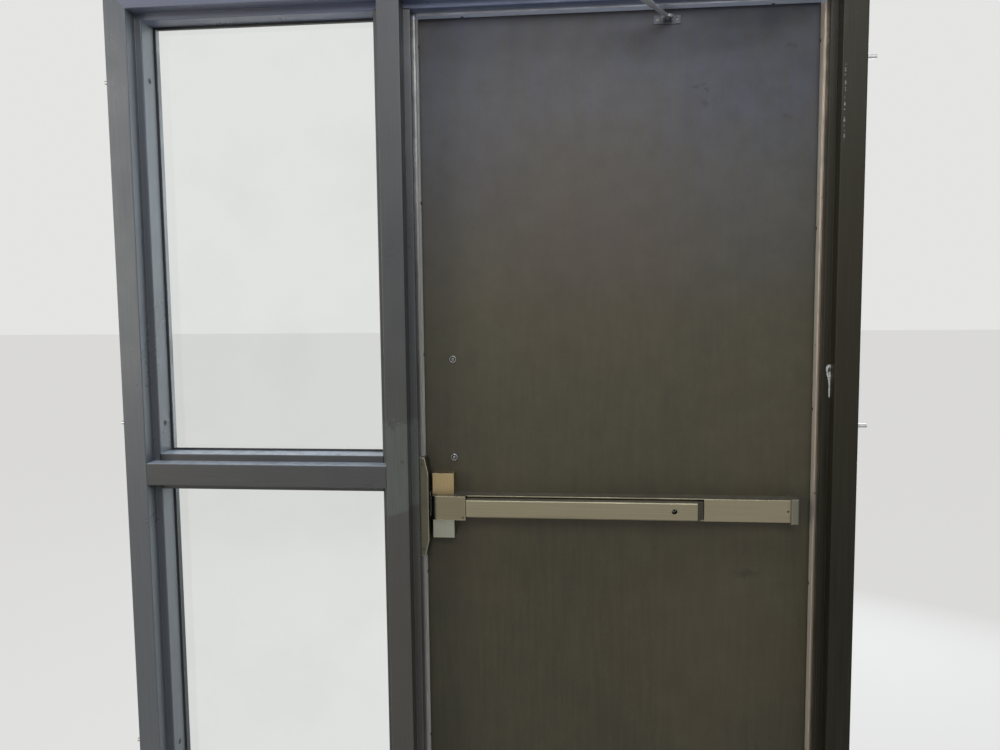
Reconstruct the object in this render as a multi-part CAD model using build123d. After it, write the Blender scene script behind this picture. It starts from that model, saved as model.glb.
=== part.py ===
"""Hollow metal exit door in its welded steel frame, with a glazed side light on the latch side.

Millimetres. X runs to the right seen from inside, Y runs outwards through the doorway, Z is up.
The origin is on the floor, in the middle of the door opening, in the plane of the inside frame face.
The door swings outwards on three hinges at the right. A rim exit device works the latch at the left.
"""
import os
from math import acos, asin, atan2, cos, degrees, hypot, radians, sin

from build123d import *

# Frame
OPENING_W = 914.4        # door opening between the frame faces
OPENING_H = 2133.6       # floor to the lower edge of the header face
LIGHT_W = 561.0          # side light opening between the frame faces
FACE_W = 50.8            # width of the frame faces
REVEAL = 39.7            # depth from the inside face to the stop
SOFFIT = 57.15           # width of the stop's flat side
OUTER_RABBET = 49.2      # depth of the rabbet that holds the door or the glass
STOP_H = 15.9            # height of the stop
SHEET = 1.6              # frame steel
BEND_R = 2.4             # outer bend radius
BACKBEND = 12.7          # return at the wall side of a jamb
RAIL_TOP = 1121.0        # upper edge of the side light rail's face
RAIL_FACE = 50.8
SILL_FACE = 101.6

# Frame anchors
ANCHOR_DROP = 141.6      # highest wall anchor below the header
ANCHOR_PITCH = 786.0
ANCHOR_COUNT = 3
ANCHOR_BOLT_R = 4.5
ANCHOR_CLEAR = 0.3
ANCHOR_REACH = 40.0      # bolt beyond the back of the jamb
CLIP_SHEET = 3.0         # floor clip
CLIP_W = 86.0
CLIP_H = 50.0
CLIP_REACH = 45.0        # floor flange beyond the back of the jamb
CLIP_HOLE_R = 5.0
CLIP_HOLE_PITCH = 60.0
CLIP_HOLE_INSET = 20.0   # holes from the flange's end

# Glazing
GLASS_T = 6.35
GLASS_EDGE_GAP = 3.2
TAPE_T = 3.2
TAPE_W = 12.0
BEAD_DEPTH = 15.9
BEAD_SHEET = 1.2
BLOCK_LENGTH = 100.0     # setting block

# Weatherstrip
STRIP_W = 28.6
STRIP_T = 6.35
STRIP_FLUTE = 1.2
STRIP_SLOT_W = 2.2
STRIP_SLOT_DEPTH = 5.0
STRIP_FLOOR_GAP = 6.0
BULB_GAP = 0.35          # bulb to the closed door

# Door
DOOR_T = 44.45
DOOR_GAP = 3.2           # door to the frame at the sides and the head
DOOR_UNDERCUT = 12.7
SKIN = 1.2
CHANNEL_H = 30.0         # flange of the top and bottom channels
STIFFENER_PITCH = 152.4
STIFFENER_COUNT = 5
STIFFENER_FLANGE = 20.0
REINFORCE_T = 2.5

# Hinges
HINGE_H = 114.3
HINGE_LEAF_T = 3.4
HINGE_LEAF_BITE = 38.0   # leaf in the rabbet
HINGE_BARREL_R = 7.2
HINGE_PIN_R = 3.6
HINGE_PIN_CLEAR = 0.08
HINGE_BACKSET = 6.0      # pin centre beyond the door's outer face
KNUCKLES = 5
KNUCKLE_GAP = 0.3
HINGE_DROP = 196.6       # centre of the upper hinge below the header
HINGE_BOTTOM = 311.0     # centre of the lower hinge
HINGE_PLATE_T = 5.0
HINGE_PLATE_EDGE = 14.0

# Exit device
DEVICE_Z = 1017.0        # centre line above the floor
DEVICE_LEFT = 41.0       # case from the opening's latch edge
CASE_W = 50.8
CASE_H = 150.0
CASE_D = 35.0
CASE_WALL = 2.0
CASE_R = 1.5
DEVICE_LENGTH = 819.0
CHANNEL_W = 50.8
CHANNEL_D = 40.0
CHANNEL_WALL = 2.5
HEAD_W = 80.0
HEAD_INSET = 1.0         # cover from the case's outer edge
HEAD_CLEAR = 0.2
HEAD_D = 60.0
HEAD_WALL = 1.6
HEAD_R = 13.0
BAR_START = 82.0         # touch bar from the case's outer edge
BAR_LENGTH = 530.0
BAR_H = 40.0
BAR_D = 62.0             # front of the bar from the door
BAR_SKIRT = 36.0
BAR_WALL = 2.5
BAR_R = 3.0
BAR_FIT = 0.1            # end piece in the bar
BAR_TRIM_L = 14.0
BAR_PLUG_L = 8.0
BAR_TRIM_SLOPE = 12.0
BAR_TRAVEL = 14.0
COVER_LENGTH = 188.0     # plain cover at the hinge end
COVER_T = 3.0
END_CAP_L = 17.0
END_CAP_H = 58.0
END_CAP_D = 50.0
END_CAP_R = 3.5
DOG_INSET = 50.0         # dogging hole from the bar's metal end
DOG_R = 6.2
DOG_CLEAR = 0.8
DOG_SOCKET = 2.6
DOG_SOCKET_L = 8.0
CRANK_FIRST = 180.0      # first crank pivot from the case's outer edge
CRANK_PITCH = 300.0
CRANK_BAR_ARM = 20.0
CRANK_THROW = 16.0       # travel of the drive rod
CRANK_T = 6.0
CRANK_TIP_R = 3.5
CRANK_WEB = 0.6          # half width of the arms as a share of the tip
CRANK_RIM = 3.0          # metal round the pin
CRANK_CLEAR = 0.06
CRANK_FOOT_T = 1.5
LUG_HALF = 6.0
LUG_SHORT = 3.0          # lug on the crank pivot's side
LUG_GAP = 0.3
CRANK_DEPTH = 31.2       # crank pivot from the door
CRANK_PIN_R = 3.0
ROD_W = 14.0
ROD_T = 3.0
BOLT_H = 38.0
BOLT_T = 12.7
BOLT_CLEAR = 0.4
BOLT_BODY = 26.0         # bolt inside the case at rest
BOLT_IN_STRIKE = 14.8
BOLT_FROM_DOOR = 25.0    # middle of the latch bolt from the door
CRANK_EAR_T = 2.0        # ear of the crank's bracket
SPRING_WIRE = 1.0        # torsion spring beside each crank
SPRING_TURNS = 2
SPRING_CLEAR = 0.3

# Strike
STRIKE_H = 228.6
STRIKE_W = 44.45
STRIKE_T = 19.05
STRIKE_END_T = 11.0
STRIKE_TAPER = 36.0
STRIKE_TO_DOOR = 7.2     # strike's outer edge to the door face
STRIKE_POCKET_H = 62.0
STRIKE_BACK = 3.0
KEEPER_T = 4.6
KEEPER_REACH = 12.0      # jaw from the keeper's pin
KEEPER_BARREL_R = 3.2
KEEPER_PIN_R = 1.6
KEEPER_CLEAR = 0.4
KEEPER_TO_BOLT = 1.4
COIL_GAP = 8.0
COIL_H = 30.0
COIL_W = 18.0
COIL_D = 14.0

# Pull and its through bolts
PULL_CENTRES = 228.6
PULL_Z = 1238.0
PULL_INSET = 88.0        # from the opening's latch edge
PULL_BAR = 19.0          # square bar
PULL_PROJECTION = 62.0
PULL_BEND_R = 24.0       # to the bar's centre line
PULL_BOLT_R = 4.0
PULL_HEAD_R = 8.4
PULL_HEAD_T = 2.6
PULL_THREAD_L = 20.0

# Closer
CLOSER_X = 800.0         # spindle from the opening's latch edge
CLOSER_Y = -30.0
CLOSER_LENGTH = 232.0
CLOSER_H = 44.0
CLOSER_D = 58.0
CLOSER_RISE = 3.4        # body above the lower edge of the header face
CLOSER_R = 9.0
SPINDLE_R = 7.0
SPINDLE_CLEAR = 0.08
SPINDLE_DEEP = 20.0
HUB_LIP = 3.0
SPINDLE_FROM_END = 80.0
ARM_LENGTH = 335.26
ARM_W = 22.0
ARM_T = 6.0
FOREARM_LENGTH = 223.9
FOREARM_R = 5.0
SLEEVE_R = 7.0
ARM_GAP = 1.0            # sleeve to the main arm
ELBOW_R = 4.0
ARM_DROP = 35.6          # underside of the main arm below the header
SHOE_X = 570.0           # shoe pivot from the opening's latch edge
SHOE_PIVOT_OUT = 23.6    # shoe pivot from the door
SHOE_W = 58.0
SHOE_H = 19.0
SHOE_T = 3.0
SHOE_PIN_R = 3.2
EYE_R = 12.6
EYE_BORE_R = 9.6
EYE_T = 5.0
EAR_T = 2.6
EAR_R = 7.0
EAR_GAP = 0.6
ELBOW_CLEAR = 0.2
SLEEVE_LENGTH = 125.0
ROD_START = 40.0
FLAT_LENGTH = 34.0

# Places worked out from the sizes above
HALF_W = OPENING_W / 2
DEPTH = REVEAL + SOFFIT + OUTER_RABBET
STOP_BACK = REVEAL + SOFFIT
LIGHT_RIGHT = -HALF_W - FACE_W
LIGHT_LEFT = LIGHT_RIGHT - LIGHT_W
FRAME_LEFT = LIGHT_LEFT - FACE_W
FRAME_RIGHT = HALF_W + FACE_W
FRAME_TOP = OPENING_H + FACE_W
RAIL_BOTTOM = RAIL_TOP - RAIL_FACE
DOOR_IN = DEPTH - DOOR_T
DOOR_LEFT = -HALF_W + DOOR_GAP
DOOR_RIGHT = HALF_W - DOOR_GAP
DOOR_TOP = OPENING_H - DOOR_GAP
STRIP_NEAR = STOP_BACK - STRIP_W
CASE_LEFT = -HALF_W + DEVICE_LEFT
CHANNEL_LEFT = CASE_LEFT + CASE_W
DEVICE_RIGHT = CASE_LEFT + DEVICE_LENGTH
CHANNEL_RIGHT = DEVICE_RIGHT - END_CAP_L
BAR_LEFT = CASE_LEFT + BAR_START
BAR_RIGHT = BAR_LEFT + BAR_LENGTH
BAR_FRONT = DOOR_IN - BAR_D
CRANK_Y = DOOR_IN - CRANK_DEPTH
CRANK_HALF_TURN = asin(BAR_TRAVEL / 2 / CRANK_BAR_ARM)
CRANK_ROD_ARM = CRANK_THROW / 2 / sin(CRANK_HALF_TURN)
ROD_Y = CRANK_Y + CRANK_ROD_ARM * cos(CRANK_HALF_TURN) ** 0.5
BOLT_Y = DOOR_IN - BOLT_FROM_DOOR
STRIKE_FACE = -HALF_W + STOP_H
STRIKE_OUT = DOOR_IN - STRIKE_TO_DOOR
STRIKE_IN = STRIKE_OUT - STRIKE_W
KEEPER_X = STRIKE_FACE + STRIKE_BACK + KEEPER_BARREL_R + KEEPER_CLEAR
KEEPER_Y = BOLT_Y + BOLT_T / 2 + KEEPER_TO_BOLT + KEEPER_T / 2
PULL_X = -HALF_W + PULL_INSET
HINGE_X = HALF_W - DOOR_GAP / 2
HINGE_Y = DEPTH + HINGE_BACKSET
HINGE_TOP = OPENING_H - HINGE_DROP
HINGE_HEIGHTS = [HINGE_TOP, (HINGE_TOP + HINGE_BOTTOM) / 2, HINGE_BOTTOM]
SPINDLE_X = -HALF_W + CLOSER_X
CLOSER_Z0 = OPENING_H + CLOSER_RISE
SHOE_PX = -HALF_W + SHOE_X
SHOE_PY = DOOR_IN - SHOE_PIVOT_OUT
SHOE_FAR = hypot(SHOE_PX - SPINDLE_X, SHOE_PY - CLOSER_Y)
ARM_TURN = acos((ARM_LENGTH ** 2 + SHOE_FAR ** 2 - FOREARM_LENGTH ** 2) / (2 * ARM_LENGTH * SHOE_FAR))
ARM_ANGLE = degrees(atan2(SHOE_PY - CLOSER_Y, SHOE_PX - SPINDLE_X) + ARM_TURN)
ELBOW_X = SPINDLE_X + ARM_LENGTH * cos(radians(ARM_ANGLE))
ELBOW_Y = CLOSER_Y + ARM_LENGTH * sin(radians(ARM_ANGLE))
FOREARM_ANGLE = degrees(atan2(SHOE_PY - ELBOW_Y, SHOE_PX - ELBOW_X))
ARM_Z = OPENING_H - ARM_DROP
FOREARM_Z = ARM_Z - SLEEVE_R - ARM_GAP


def block(x0, x1, y0, y1, z0, z1):
    """A box between two corners."""
    size = Box(x1 - x0, y1 - y0, z1 - z0)
    return Pos((x0 + x1) / 2, (y0 + y1) / 2, (z0 + z1) / 2) * size


def prism(points, axis, start, end):
    """A straight prism along axis. The points are in the two other axes, in X, Y, Z order."""
    if axis == "X":
        corners = [(start, a, b) for a, b in points]
        way = (1, 0, 0)
    elif axis == "Y":
        corners = [(a, start, b) for a, b in points]
        way = (0, 1, 0)
    else:
        corners = [(a, b, start) for a, b in points]
        way = (0, 0, 1)
    return extrude(make_face(Polyline(*corners, close=True)), amount=end - start, dir=way)


def rod(axis, x, y, z, radius, length):
    """A cylinder that starts at the point and runs along axis."""
    turns = {"X": Rot(0, 90, 0), "Y": Rot(-90, 0, 0), "Z": Rot(0, 0, 0)}
    blank = Cylinder(radius, length, align=(Align.CENTER, Align.CENTER, Align.MIN))
    return Pos(x, y, z) * turns[axis] * blank


def drilled(shape, cutters):
    """A shape with each cutter taken away."""
    for cutter in cutters:
        shape = shape - cutter
    return shape


def save(name, *shapes):
    """Write one node from one or more shapes."""
    solids = [solid for shape in shapes for solid in shape.solids()]
    export_step(solids[0] if len(solids) == 1 else Compound(solids), f"parts/{name}.step")


# Frame members


def single_outline(face):
    """Section of a jamb as a full bar: local x points into the opening, local y runs outwards."""
    points = [(-face, 0), (0, 0), (0, REVEAL), (STOP_H, REVEAL), (STOP_H, STOP_BACK)]
    points += [(0, STOP_BACK), (0, DEPTH), (-face, DEPTH)]
    return make_face(Polyline(*points, close=True))


def double_outline(face):
    """Section of a full bar with an opening on both sides."""
    points = [(-face, 0), (0, 0), (0, REVEAL), (STOP_H, REVEAL), (STOP_H, STOP_BACK)]
    points += [(0, STOP_BACK), (0, DEPTH), (-face, DEPTH), (-face, STOP_BACK)]
    points += [(-face - STOP_H, STOP_BACK), (-face - STOP_H, REVEAL), (-face, REVEAL)]
    return make_face(Polyline(*points, close=True))


def bent(outline):
    """An outline with its outward bends rounded. The roots of the stops are folded sharp."""
    roots = [v for v in outline.vertices() if v.Y in (REVEAL, STOP_BACK) and v.X in (0, -FACE_W)]
    return fillet([v for v in outline.vertices() if v not in roots], BEND_R)


def folded(outline):
    """The sheet that follows an outline."""
    return bent(outline) - offset(outline, -SHEET)


def throat(face):
    """The gap between the backbends, at the wall side of a section."""
    gap = Rectangle(2 * BEND_R + SHEET, DEPTH - 2 * BACKBEND)
    return Pos(-face, DEPTH / 2) * gap


def upright(section, x, z0, z1, flip=False):
    """Run a section up from z0 to z1 with its opening edge at x."""
    member = extrude(section, amount=z1 - z0)
    if flip:
        member = mirror(member, about=Plane.YZ)
    return Pos(x, 0, z0) * member


def crossways(section, x0, x1, z, up):
    """Run a section along X with its opening edge at z, opening upwards or downwards."""
    if up:
        plane = Plane(origin=(x1, 0, z), x_dir=(0, 0, 1), z_dir=(-1, 0, 0))
    else:
        plane = Plane(origin=(x0, 0, z), x_dir=(0, 0, -1), z_dir=(1, 0, 0))
    return extrude(plane * section, amount=x1 - x0)


def corner_cut(x_out, side, for_header):
    """The half beyond the mitre, side 1 for the left corner and -1 for the right one."""
    reach = FACE_W + 2 * STOP_H
    tip = (x_out, FRAME_TOP)
    inner = (x_out + side * reach, FRAME_TOP - reach)
    if for_header:
        third = (x_out, FRAME_TOP - reach)
    else:
        third = (x_out + side * reach, FRAME_TOP)
    return prism([tip, inner, third], "Y", 0, DEPTH)


def jamb_filled():
    """Both jambs and the mullion as full bars, to cope the members that meet them."""
    left = upright(bent(single_outline(FACE_W)), LIGHT_LEFT, 0, FRAME_TOP)
    middle = upright(bent(double_outline(FACE_W)), -HALF_W, 0, FRAME_TOP)
    return left, middle


def anchor_heights():
    return [OPENING_H - ANCHOR_DROP - i * ANCHOR_PITCH for i in range(ANCHOR_COUNT)]


def anchor_places():
    """x of the soffit, side of the wall, y and z of each wall anchor."""
    light_y = REVEAL + SOFFIT / 2
    door_y = STOP_BACK - STRIP_W / 2
    places = [(LIGHT_LEFT + STOP_H, -1, light_y, z) for z in anchor_heights()]
    return places + [(HALF_W - STOP_H, 1, door_y, z) for z in anchor_heights()]


def anchor_bolt(x, side, y, z):
    """A bolt that starts flush in the soffit and runs through the jamb into the wall."""
    length = STOP_H + FACE_W + ANCHOR_REACH
    return rod("X", min(x, x + side * length), y, z, ANCHOR_BOLT_R, length)


def anchor_saddle(x, side, y, z):
    """The folded spacer that straddles an anchor bolt, from the stop to the jamb's back."""
    x0, x1 = sorted((x + side * SHEET, x + side * (STOP_H + FACE_W)))
    inner = ANCHOR_BOLT_R + ANCHOR_CLEAR
    outer = inner + SHEET
    saddle = block(x0, x1, y - outer, y + outer, z - outer, z + outer)
    return saddle - block(x0, x1, y - inner, y + outer, z - inner, z + inner)


def floor_clip(x_soffit, x_back, side):
    """A bent clip inside a jamb with a floor flange that reaches under the wall."""
    near = x_soffit + side * SHEET
    end = x_back + side * CLIP_REACH
    points = [(near, 0), (end, 0), (end, CLIP_SHEET), (near + side * CLIP_SHEET, CLIP_SHEET)]
    points += [(near + side * CLIP_SHEET, CLIP_H), (near, CLIP_H)]
    middle = REVEAL + SOFFIT / 2
    half = SOFFIT / 2 - SHEET - BEND_R
    clip = prism(points, "Y", middle - half, middle + half)
    x0, x1 = sorted((x_back, end))
    flange = block(x0, x1, middle - CLIP_W / 2, middle + CLIP_W / 2, 0, CLIP_SHEET)
    hole_x = end - side * CLIP_HOLE_INSET
    steps = (-CLIP_HOLE_PITCH / 2, CLIP_HOLE_PITCH / 2)
    holes = [rod("Z", hole_x, middle + step, 0, CLIP_HOLE_R, CLIP_SHEET) for step in steps]
    return drilled(clip + flange, holes)


def hinge_pocket(x, side, z):
    """The mortise for one hinge leaf, side 1 into the jamb and -1 into the door."""
    x0, x1 = sorted((x, x + side * HINGE_LEAF_T))
    return block(x0, x1, DEPTH - HINGE_LEAF_BITE, DEPTH + 1, z - HINGE_H / 2, z + HINGE_H / 2)


def hinge_dish(z):
    """The jamb's sheet pressed in behind a hinge leaf, as deep as the leaf."""
    x1 = HALF_W + HINGE_LEAF_T + SHEET
    half = HINGE_H / 2 + SHEET
    return block(HALF_W, x1, DEPTH - HINGE_LEAF_BITE - SHEET, DEPTH - SHEET, z - half, z + half)


def hinge_plate(x, side, skin, z):
    """The backing plate behind a hinge leaf, with the leaf's pocket in it."""
    x0, x1 = sorted((x + side * skin, x + side * (HINGE_LEAF_T + HINGE_PLATE_T)))
    low = DEPTH - HINGE_LEAF_BITE - 4
    half = HINGE_H / 2 + HINGE_PLATE_EDGE
    plate = block(x0, x1, low, DEPTH - skin - 1, z - half, z + half)
    return plate - hinge_pocket(x, side, z)


def make_frame():
    section = folded(single_outline(FACE_W)) - throat(FACE_W)
    left = upright(section, LIGHT_LEFT, 0, FRAME_TOP) - corner_cut(FRAME_LEFT, 1, False)
    right = upright(section, HALF_W, 0, FRAME_TOP, flip=True) - corner_cut(FRAME_RIGHT, -1, False)
    header = crossways(section, FRAME_LEFT, FRAME_RIGHT, OPENING_H, up=False)
    header -= corner_cut(FRAME_LEFT, 1, True)
    header -= corner_cut(FRAME_RIGHT, -1, True)
    left_bar, middle_bar = jamb_filled()
    header_outline = bent(single_outline(FACE_W))
    header_bar = crossways(header_outline, FRAME_LEFT, FRAME_RIGHT, OPENING_H, up=False)
    mullion = upright(folded(double_outline(FACE_W)), -HALF_W, 0, OPENING_H) - header_bar
    rail = crossways(folded(double_outline(RAIL_FACE)), LIGHT_LEFT, LIGHT_RIGHT, RAIL_TOP, up=True)
    sill_section = folded(single_outline(SILL_FACE)) - throat(SILL_FACE)
    sill = crossways(sill_section, LIGHT_LEFT, LIGHT_RIGHT, SILL_FACE, up=True)
    rail = rail - left_bar - middle_bar
    sill = sill - left_bar - middle_bar
    for place in anchor_places():
        if place[1] < 0:
            left -= anchor_bolt(*place)
        else:
            right -= anchor_bolt(*place)
    for z in HINGE_HEIGHTS:
        right = right + hinge_dish(z) - hinge_pocket(HALF_W, 1, z)
    save("left_jamb", left)
    save("right_jamb", right)
    save("header", header)
    save("mullion", mullion)
    save("side_light_rail", rail)
    save("side_light_sill", sill)
    save("wall_anchor_bolts", *[anchor_bolt(*place) for place in anchor_places()])
    save("wall_anchor_saddles", *[anchor_saddle(*place) for place in anchor_places()])
    left_clip = floor_clip(LIGHT_LEFT + STOP_H, FRAME_LEFT, -1)
    right_clip = floor_clip(HALF_W - STOP_H, FRAME_RIGHT, 1)
    save("floor_clips", left_clip, right_clip)
    save("jamb_hinge_plates", *[hinge_plate(HALF_W, 1, SHEET, z) - hinge_dish(z) for z in HINGE_HEIGHTS])


# Side light glazing


def lights():
    """Lower and upper edge of the two glazed openings, between the frame faces."""
    return (SILL_FACE, RAIL_BOTTOM), (RAIL_TOP, OPENING_H)


def ring(z0, z1, y, thickness, width):
    """A rectangular gasket that is flush with the stops."""
    x0 = LIGHT_LEFT + STOP_H - width
    x1 = LIGHT_RIGHT - STOP_H + width
    outer = block(x0, x1, y, y + thickness, z0 + STOP_H - width, z1 - STOP_H + width)
    inner = block(x0 + width, x1 - width, y, y + thickness, z0 + STOP_H, z1 - STOP_H)
    return outer - inner


def bead_section():
    """Channel section of a glazing bead: local x into the opening, local y outwards."""
    outer = Pos(STOP_H / 2, BEAD_DEPTH / 2) * Rectangle(STOP_H, BEAD_DEPTH)
    hollow = STOP_H - BEAD_SHEET
    inner = Pos(hollow / 2, BEAD_DEPTH / 2) * Rectangle(hollow, BEAD_DEPTH - 2 * BEAD_SHEET)
    return outer - inner


def make_glazing():
    tape_in = STOP_BACK
    glass_in = tape_in + TAPE_T
    tape_out = glass_in + GLASS_T
    bead_in = tape_out + TAPE_T
    section = Pos(0, bead_in) * bead_section()
    gap = GLASS_EDGE_GAP
    panes, tapes, beads, blocks = [], [], [], []
    for z0, z1 in lights():
        panes.append(block(LIGHT_LEFT + gap, LIGHT_RIGHT - gap, glass_in, tape_out, z0 + gap, z1 - gap))
        tapes.append(ring(z0, z1, tape_in, TAPE_T, TAPE_W))
        tapes.append(ring(z0, z1, tape_out, TAPE_T, TAPE_W))
        beads.append(upright(section, LIGHT_LEFT, z0, z1))
        beads.append(upright(section, LIGHT_RIGHT, z0, z1, flip=True))
        inner_left, inner_right = LIGHT_LEFT + STOP_H, LIGHT_RIGHT - STOP_H
        beads.append(crossways(section, inner_left, inner_right, z0, up=True))
        beads.append(crossways(section, inner_left, inner_right, z1, up=False))
        for x in (LIGHT_LEFT + LIGHT_W / 4, LIGHT_RIGHT - LIGHT_W / 4):
            half = BLOCK_LENGTH / 2
            blocks.append(block(x - half, x + half, glass_in, tape_out, z0, z0 + gap))
    save("glazing_tapes", *tapes)
    save("glazing_beads", *beads)
    save("glass_panes", *panes)
    save("setting_blocks", *blocks)


# Weatherstrip


def carrier_section():
    """Fluted aluminium carrier: local x into the opening from the soffit, local y outwards."""
    t = STRIP_T
    points = [(0, STRIP_NEAR), (t - 2.4, STRIP_NEAR), (t, STRIP_NEAR + 2.4), (t, STOP_BACK), (0, STOP_BACK)]
    section = make_face(Polyline(*points, close=True))
    for share in (0.3, 0.45, 0.6):
        section -= Pos(t, STRIP_NEAR + share * STRIP_W) * Rectangle(2 * STRIP_FLUTE, STRIP_FLUTE)
    slot = Rectangle(STRIP_SLOT_W, 2 * STRIP_SLOT_DEPTH)
    return section - Pos(t / 2, STOP_BACK) * slot


def bulb_section():
    """Silicone bulb on a stem that sits in the carrier's slot."""
    radius = (DOOR_IN - STOP_BACK - BULB_GAP) / 2
    stem_start = STOP_BACK - STRIP_SLOT_DEPTH
    stem_length = STRIP_SLOT_DEPTH + radius / 2
    stem = Pos(STRIP_T / 2, stem_start + stem_length / 2) * Rectangle(STRIP_SLOT_W, stem_length)
    centre = Pos(STRIP_T / 2, STOP_BACK + radius)
    return stem + centre * Circle(radius)


def strike_span():
    return DEVICE_Z - STRIKE_H / 2, DEVICE_Z + STRIKE_H / 2


def strip_runs():
    """Lower and upper ends of the side strips: latch side around the strike, then hinge side."""
    low, high = strike_span()
    top = OPENING_H - STOP_H
    return [(STRIP_FLOOR_GAP, low), (high, top)], [(STRIP_FLOOR_GAP, top)]


def make_weatherstrip():
    carrier, bulb = carrier_section(), bulb_section()
    left_runs, right_runs = strip_runs()
    left_x, right_x = -HALF_W + STOP_H, HALF_W - STOP_H
    head_z = OPENING_H - STOP_H
    head_span = (left_x + STRIP_T, right_x - STRIP_T)
    carriers = [upright(carrier, left_x, z0, z1) for z0, z1 in left_runs]
    carriers += [upright(carrier, right_x, z0, z1, flip=True) for z0, z1 in right_runs]
    carriers.append(crossways(carrier, head_span[0], head_span[1], head_z, up=False))
    bulbs = [upright(bulb, left_x, z0, z1) for z0, z1 in left_runs]
    bulbs += [upright(bulb, right_x, z0, z1, flip=True) for z0, z1 in right_runs]
    bulbs.append(crossways(bulb, head_span[0], head_span[1], head_z, up=False))
    save("weatherstrip_carriers", *carriers)
    save("weatherstrip_bulbs", *bulbs)


# Door leaf


def skin_pan(inside):
    """One face sheet with its side edges returned to the middle of the door's thickness."""
    middle = DOOR_IN + DOOR_T / 2
    y0, y1 = (DOOR_IN, middle) if inside else (middle, DEPTH)
    pan = block(DOOR_LEFT, DOOR_RIGHT, y0, y1, DOOR_UNDERCUT, DOOR_TOP)
    f0, f1 = (DOOR_IN + SKIN, middle) if inside else (middle, DEPTH - SKIN)
    return pan - block(DOOR_LEFT + SKIN, DOOR_RIGHT - SKIN, f0, f1, DOOR_UNDERCUT, DOOR_TOP)


def end_channel(z_web, way):
    """The channel that closes the door's top or bottom edge."""
    y0, y1 = DOOR_IN + SKIN, DEPTH - SKIN
    z_far = z_web + way * CHANNEL_H
    z0, z1 = sorted((z_web, z_far))
    outer = block(DOOR_LEFT + SKIN, DOOR_RIGHT - SKIN, y0, y1, z0, z1)
    i0, i1 = sorted((z_web + way * SHEET, z_far))
    return outer - block(DOOR_LEFT + SKIN, DOOR_RIGHT - SKIN, y0 + SHEET, y1 - SHEET, i0, i1)


def stiffener(x):
    """A vertical channel stiffener between the two skins."""
    y0, y1 = DOOR_IN + SKIN, DEPTH - SKIN
    z0, z1 = DOOR_UNDERCUT + CHANNEL_H, DOOR_TOP - CHANNEL_H
    outer = block(x, x + STIFFENER_FLANGE, y0, y1, z0, z1)
    return outer - block(x + SKIN, x + STIFFENER_FLANGE, y0 + SKIN, y1 - SKIN, z0, z1)


def through_bolt_heights():
    return [PULL_Z - PULL_CENTRES / 2, PULL_Z + PULL_CENTRES / 2]


def reinforcement(x, width, z0, z1):
    """A backing plate behind the inner skin."""
    y0 = DOOR_IN + SKIN
    return block(x - width / 2, x + width / 2, y0, y0 + REINFORCE_T, z0, z1)


def make_door():
    inner, outer = skin_pan(True), skin_pan(False)
    for z in HINGE_HEIGHTS:
        inner -= hinge_pocket(DOOR_RIGHT, -1, z)
        outer -= hinge_pocket(DOOR_RIGHT, -1, z)
    for z in through_bolt_heights():
        hole = rod("Y", PULL_X, DOOR_IN - 1, z, PULL_BOLT_R + 0.2, DOOR_T + 2)
        inner -= hole
        outer -= hole
    middle = (STIFFENER_COUNT - 1) / 2
    places = [(i - middle) * STIFFENER_PITCH - STIFFENER_FLANGE / 2 for i in range(STIFFENER_COUNT)]
    half_case = CASE_H / 2
    case_plate = reinforcement(CASE_LEFT + CASE_W / 2, CASE_W, DEVICE_Z - half_case, DEVICE_Z + half_case)
    end_plate = reinforcement(CHANNEL_RIGHT, 2 * END_CAP_L, DEVICE_Z - half_case, DEVICE_Z + half_case)
    shoe_plate = reinforcement(SHOE_PX, SHOE_W, FOREARM_Z - SHOE_H, DOOR_TOP - CHANNEL_H)
    plates = [case_plate, end_plate, shoe_plate]
    stiffeners = [drilled(stiffener(x), plates) for x in places]
    save("inner_skin", inner)
    save("outer_skin", outer)
    save("door_end_channels", end_channel(DOOR_TOP, -1), end_channel(DOOR_UNDERCUT, 1))
    save("stiffeners", *stiffeners)
    save("door_backing_plates", *plates)
    save("door_hinge_plates", *[hinge_plate(DOOR_RIGHT, -1, SKIN, z) for z in HINGE_HEIGHTS])


# Hinges


def knuckle_span(z, index):
    pitch = HINGE_H / KNUCKLES
    low = z - HINGE_H / 2 + index * pitch
    return low + KNUCKLE_GAP / 2, low + pitch - KNUCKLE_GAP / 2


def hinge_leaf(z, side):
    """One leaf with its knuckles, side 1 on the jamb and -1 on the door."""
    face_x = HALF_W if side > 0 else DOOR_RIGHT
    x0, x1 = sorted((face_x, face_x + side * HINGE_LEAF_T))
    leaf = block(x0, x1, DEPTH - HINGE_LEAF_BITE, HINGE_Y, z - HINGE_H / 2, z + HINGE_H / 2)
    near = HINGE_Y - HINGE_BARREL_R - KNUCKLE_GAP
    for index in range(KNUCKLES):
        low, high = knuckle_span(z, index)
        if (index % 2 == 0) == (side > 0):
            leaf += rod("Z", HINGE_X, HINGE_Y, low, HINGE_BARREL_R, high - low)
        else:
            leaf -= block(x0, x1, near, HINGE_Y, low - KNUCKLE_GAP, high + KNUCKLE_GAP)
    bore = HINGE_PIN_R + HINGE_PIN_CLEAR
    return leaf - rod("Z", HINGE_X, HINGE_Y, z - HINGE_H / 2, bore, HINGE_H)


def hinge_pin(z):
    return rod("Z", HINGE_X, HINGE_Y, z - HINGE_H / 2, HINGE_PIN_R, HINGE_H)


def make_hinges():
    save("jamb_hinge_leaves", *[hinge_leaf(z, 1) for z in HINGE_HEIGHTS])
    save("door_hinge_leaves", *[hinge_leaf(z, -1) for z in HINGE_HEIGHTS])
    save("hinge_pins", *[hinge_pin(z) for z in HINGE_HEIGHTS])


# Exit device


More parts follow.
